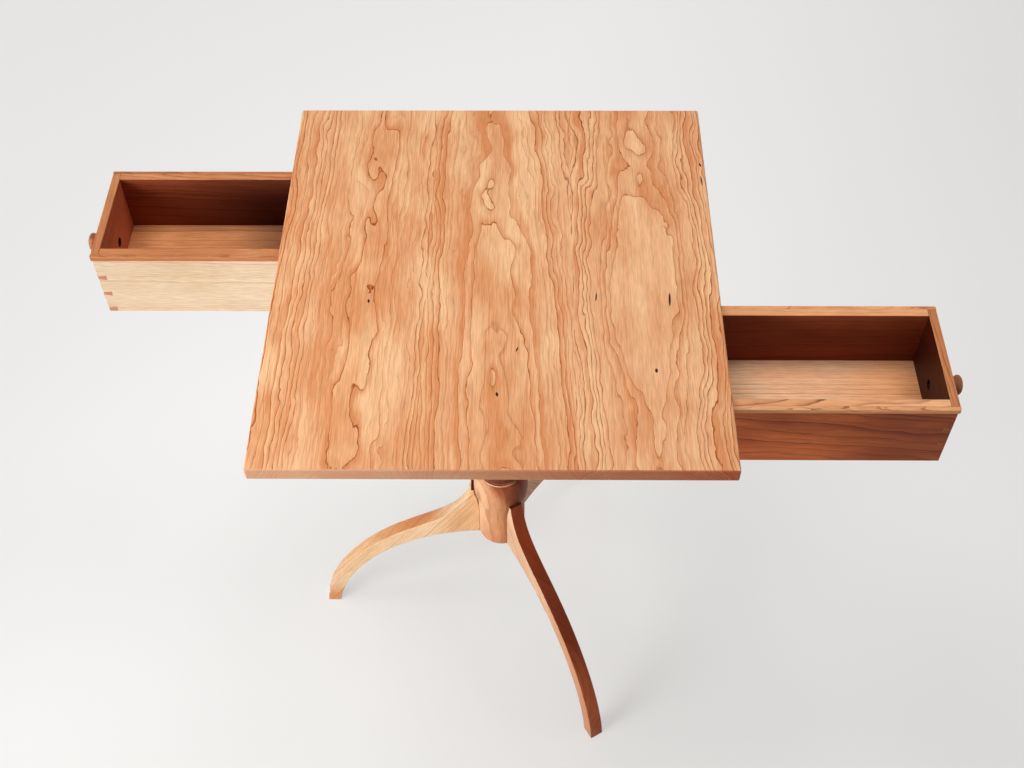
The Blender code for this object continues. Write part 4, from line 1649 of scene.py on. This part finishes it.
@dataclass
class Studio:
    """Pale floor that glows a little, soft light from above and the left, and the photograph's camera."""

    floor_half: float = 30.0
    floor_steps: int = 8
    floor_colour: Colour = (0.64, 0.63, 0.615)
    floor_seen: Colour = (0.83, 0.825, 0.81)
    floor_cloud: Triple = (0.9, 0.9, 0.9)
    floor_ramp: Ramp = (0.3, 0.7, 0.985, 1.0)
    floor_roughness: float = 0.9
    floor_gloss: float = 0.1
    glow: Colour = (1.0, 0.99, 0.975)
    glow_level: float = 0.91
    glow_slope: Triple = (-0.16, 0.085, 0.0)
    glow_share: float = 0.58
    glow_low: float = 0.72
    far_floor: Point = (2.0, 4.0)
    lamps: tuple[Lamp, ...] = (
        Lamp("left_window", (-1.3, 0.2, 4.0), size=1.8, power=64.0, spread=180.0, aim=0.40),
        Lamp("right_window", (1.3, 0.5, 4.4), size=1.8, power=64.0, spread=180.0, aim=0.40),
        Lamp("side_light", (-1.05, -0.80, 0.80), size=0.8, power=5.4, spread=80.0, aim=0.38),
    )
    air: Colour = (1.0, 0.985, 0.965)
    ambient: float = 0.09
    backdrop: float = 0.93
    eye: Triple = (0.0307 + AXIS_X, -0.9513, 1.6641)
    yaw: float = -0.9354
    pitch: float = 51.2668
    roll: float = -0.5537
    lens: float = 46.58
    sensor: float = 36.0

    def build_floor(self) -> None:
        """Lay the floor, which is seen paler than its light alone would make it."""
        Bench.clear()
        steps = self.floor_steps
        bpy.ops.mesh.primitive_grid_add(x_subdivisions=steps, y_subdivisions=steps, size=2 * self.floor_half)
        floor = Bench.name("studio_floor")
        shader = Shader("pale_floor")
        seen = shader.seen()
        cloud = shader.rise(shader.noise(shader.place, self.floor_cloud), *self.floor_ramp)
        paint = shader.blend(seen, self.floor_colour, self.floor_seen)
        shader.feed_all(shader.surface, {
            "Base Color": shader.shade(paint, cloud),
            "Roughness": self.floor_roughness,
            "Specular IOR Level": self.floor_gloss,
        })
        distance = shader.vector("LENGTH", shader.place)
        level = shader.add(shader.along(self.glow_slope), self.glow_level)
        level = shader.math("MAXIMUM", shader.math("MINIMUM", level, 1.0), self.glow_low)
        level = shader.times(level, shader.rise(distance, *self.far_floor, 1.0, 0.0))
        level = shader.add(level, shader.rise(distance, *self.far_floor, 0.0, self.backdrop))
        glow = shader.node("ShaderNodeEmission")
        shader.feed_all(glow, {"Color": self.glow, "Strength": level})
        share = shader.times(seen, shader.rise(distance, *self.far_floor, self.glow_share, 1.0))
        mixed = shader.node("ShaderNodeMixShader")
        for socket, value in zip(mixed.inputs, (share, shader.surface.outputs[0], glow.outputs[0])):
            shader.feed(socket, value)
        shader.feed(shader.tree.nodes["Material Output"].inputs["Surface"], mixed.outputs[0])
        floor.data.materials.append(shader.material)

    def build_world(self) -> None:
        """Even daylight all round, white where the camera sees past the floor."""
        world = bpy.data.worlds.new("studio_air")
        bpy.context.scene.world = world
        world.use_nodes = True
        tree = Tree(world.node_tree)
        level = tree.rise(tree.seen(), 0.0, 1.0, self.ambient, self.backdrop)
        tree.feed_all(tree.tree.nodes["Background"], {"Color": self.air, "Strength": level})

    def build_camera(self) -> None:
        """Set up the camera where the photograph was taken."""
        yaw, pitch, roll = (math.radians(a) for a in (self.yaw, self.pitch, self.roll))
        ahead = Vector((math.sin(yaw) * math.cos(pitch), math.cos(yaw) * math.cos(pitch), -math.sin(pitch)))
        level_right = Vector((math.cos(yaw), -math.sin(yaw), 0.0))
        level_up = level_right.cross(ahead)
        right = math.cos(roll) * level_right + math.sin(roll) * level_up
        up = -math.sin(roll) * level_right + math.cos(roll) * level_up
        Bench.clear()
        bpy.ops.object.camera_add(location=self.eye)
        camera = Bench.name("photo_camera")
        camera.data.sensor_fit = "HORIZONTAL"
        camera.data.sensor_width = self.sensor
        camera.data.lens = self.lens
        camera.rotation_euler = Matrix((right, up, -ahead)).transposed().to_euler()
        bpy.context.scene.camera = camera

    def build(self) -> None:
        """Set up floor, light, air and camera."""
        self.build_floor()
        for lamp in self.lamps:
            lamp.hang()
        self.build_world()
        self.build_camera()
        bpy.context.scene.view_settings.view_transform = "Standard"


@dataclass(frozen=True)
class DrawerWood:
    """Tones of a drawer's boards: pale and mid tone of each board, the painted shade of its inside faces, and
    painted shade along its bottom and on the front drawer's outer side.
    """

    near: Tones
    near_fades: tuple[Fade, ...]
    near_dark: Colour
    near_heart: Point
    near_lean: Point
    near_ring: float
    near_wander: float
    far_rim: Tones
    end_rim: Tones
    end_grain: Colour
    base: Tones
    base_shade_fades: tuple[Fade, ...]
    rim: Tones
    side_shade: Colour
    side_shade_fades: tuple[Fade, ...]
    left_shade: Colour
    right_shade: Colour
    seed: float
    wall: Tones = ((0.60, 0.27, 0.12), (0.46, 0.18, 0.075))


REAR_WOOD = DrawerWood(
    near=((0.735, 0.555, 0.385), (0.65, 0.45, 0.28)),
    near_fades=(Fade(RIGHT, -0.42, -0.28, ((0.80, 0.625, 0.445), (0.71, 0.51, 0.325))),),
    near_dark=(0.66, 0.36, 0.17),
    near_heart=(0.40, 0.03),
    near_lean=(0.02, 0.0),
    near_ring=0.0036,
    near_wander=0.005,
    far_rim=((0.65, 0.275, 0.118), (0.51, 0.19, 0.074)),
    end_rim=((0.54, 0.215, 0.09), (0.42, 0.15, 0.055)),
    end_grain=(0.50, 0.235, 0.145),
    base=((0.79, 0.335, 0.135), (0.58, 0.21, 0.075)),
    # Painted shadow of the top: the bottom darkens towards its right end.
    base_shade_fades=(Fade(RIGHT, -0.34, -0.25, ((0.39, 0.16, 0.073), (0.28, 0.10, 0.041))),),
    rim=((0.54, 0.21, 0.08), (0.42, 0.143, 0.05)),
    # Painted shade inside: the far side darkens towards its right end and lightens towards its rim; the ends
    # are shaded too.
    side_shade=(0.46, 0.20, 0.17),
    side_shade_fades=(
        Fade(RIGHT, -0.44, -0.26, ((0.09, 0.02, 0.014),)),
        Fade(UP, 0.610, 0.720, ((0.90, 0.62, 0.60),)),
    ),
    left_shade=(0.95, 0.52, 0.50),
    right_shade=(0.40, 0.18, 0.14),
    seed=50.0,
)
FRONT_WOOD = DrawerWood(
    # Painted shade: the outer side's dark red tones, darker still towards its right end.
    near=((0.62, 0.155, 0.043), (0.39, 0.074, 0.018)),
    near_fades=(Fade(RIGHT, 0.30, 0.41, ((0.40, 0.092, 0.029), (0.23, 0.044, 0.012))),),
    near_dark=(0.10, 0.022, 0.008),
    near_heart=(0.42, 0.05),
    near_lean=(0.10, 0.0),
    near_ring=0.0068,
    near_wander=0.018,
    far_rim=((0.85, 0.395, 0.178), (0.68, 0.275, 0.106)),
    end_rim=((0.59, 0.22, 0.085), (0.455, 0.15, 0.05)),
    end_grain=(0.30, 0.062, 0.018),
    base=((0.985, 0.605, 0.36), (0.91, 0.465, 0.245)),
    # Painted shade: the bottom darkens towards its right end.
    base_shade_fades=(Fade(RIGHT, 0.33, 0.42, ((0.94, 0.48, 0.23), (0.86, 0.37, 0.155))),),
    rim=((0.88, 0.44, 0.213), (0.70, 0.305, 0.129)),
    # Painted shade inside: the far side darkens towards its right end and lightens towards its rim; the ends
    # are shaded too.
    side_shade=(0.46, 0.17, 0.13),
    side_shade_fades=(
        Fade(RIGHT, 0.33, 0.42, ((0.30, 0.10, 0.075),)),
        Fade(UP, 0.610, 0.720, ((0.85, 0.55, 0.50),)),
    ),
    left_shade=(0.40, 0.18, 0.14),
    right_shade=(0.08, 0.022, 0.012),
    seed=60.0,
)


def drawer_boards(name: str, rear: bool) -> dict[str, Cherry]:
    """Finishes of a drawer's boards.

    Args:
        name: the drawer.
        rear: whether it is the drawer at the back.

    Returns:
        The finish of each board.
    """
    wood = REAR_WOOD if rear else FRONT_WOOD
    near_side, far_side = ("inner_side", "outer_side") if rear else ("outer_side", "inner_side")
    lengthwise = Grain.LENGTHWISE.value
    flat = Grain.FLAT_LENGTHWISE.value
    low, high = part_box(f"{name}_left_end")
    bore = ((low.y + high.y) / 2, (low.z + high.z) / 2, Drawer.tenon_radius + Drawer.gap)
    boards = {
        near_side: Cherry(
            f"cherry_{name}_near_side", lengthwise, *wood.near, dark=wood.near_dark, heart=wood.near_heart,
            fades=wood.near_fades, lean=wood.near_lean, ring=wood.near_ring, wander=wood.near_wander,
            inside=BACK, inside_painted_shade=wood.side_shade, rim=wood.rim, seed=wood.seed,
        ),
        far_side: Cherry(
            f"cherry_{name}_far_side", lengthwise, *wood.wall, heart=(0.52, 0.08), inside=(0.0, -1.0, 0.0),
            inside_painted_shade=wood.side_shade, inside_shade_fades=wood.side_shade_fades, rim=wood.far_rim, seed=wood.seed + 1,
        ),
    }
    for number, end, inside, shade in (
        (2, "left_end", RIGHT, wood.left_shade), (3, "right_end", (-1.0, 0.0, 0.0), wood.right_shade),
    ):
        boards[end] = Cherry(
            f"cherry_{name}_{end}", Grain.CROSSWISE.value, *wood.wall, heart=(0.54, 0.05), inside=inside,
            inside_painted_shade=shade, rim=wood.end_rim, end=wood.end_grain, bore=bore, seed=wood.seed + number,
        )
    boards["bottom"] = Cherry(
        f"cherry_{name}_bottom", flat, *wood.base, fades=wood.base_shade_fades, heart=(0.50, 0.10), lean=(0.0, 0.0),
        ring=0.0034, wander=0.002, kink=0.0008, ripple=0.0003, streak=0.45, seed=wood.seed + 4,
    )
    for number, lip in enumerate(("outer_lip", "inner_lip"), start=5):
        boards[lip] = Cherry(
            f"cherry_{name}_{lip}", flat, *wood.rim, ring=0.0026, wander=0.009, kink=0.004, streak=0.9,
            seed=wood.seed + number,
        )
    return boards


def main() -> None:
    """Build the studio, then each sub-assembly."""
    logging.basicConfig(level=logging.INFO, format="%(name)s: %(message)s")
    Studio().build()
    Top().build()
    Pedestal().build()
    Hangers().build()
    for name, rear in (("rear_drawer", True), ("front_drawer", False)):
        Drawer(name, drawer_boards(name, rear)).build()
    Bench.clear()


if __name__ == "__main__":
    main()
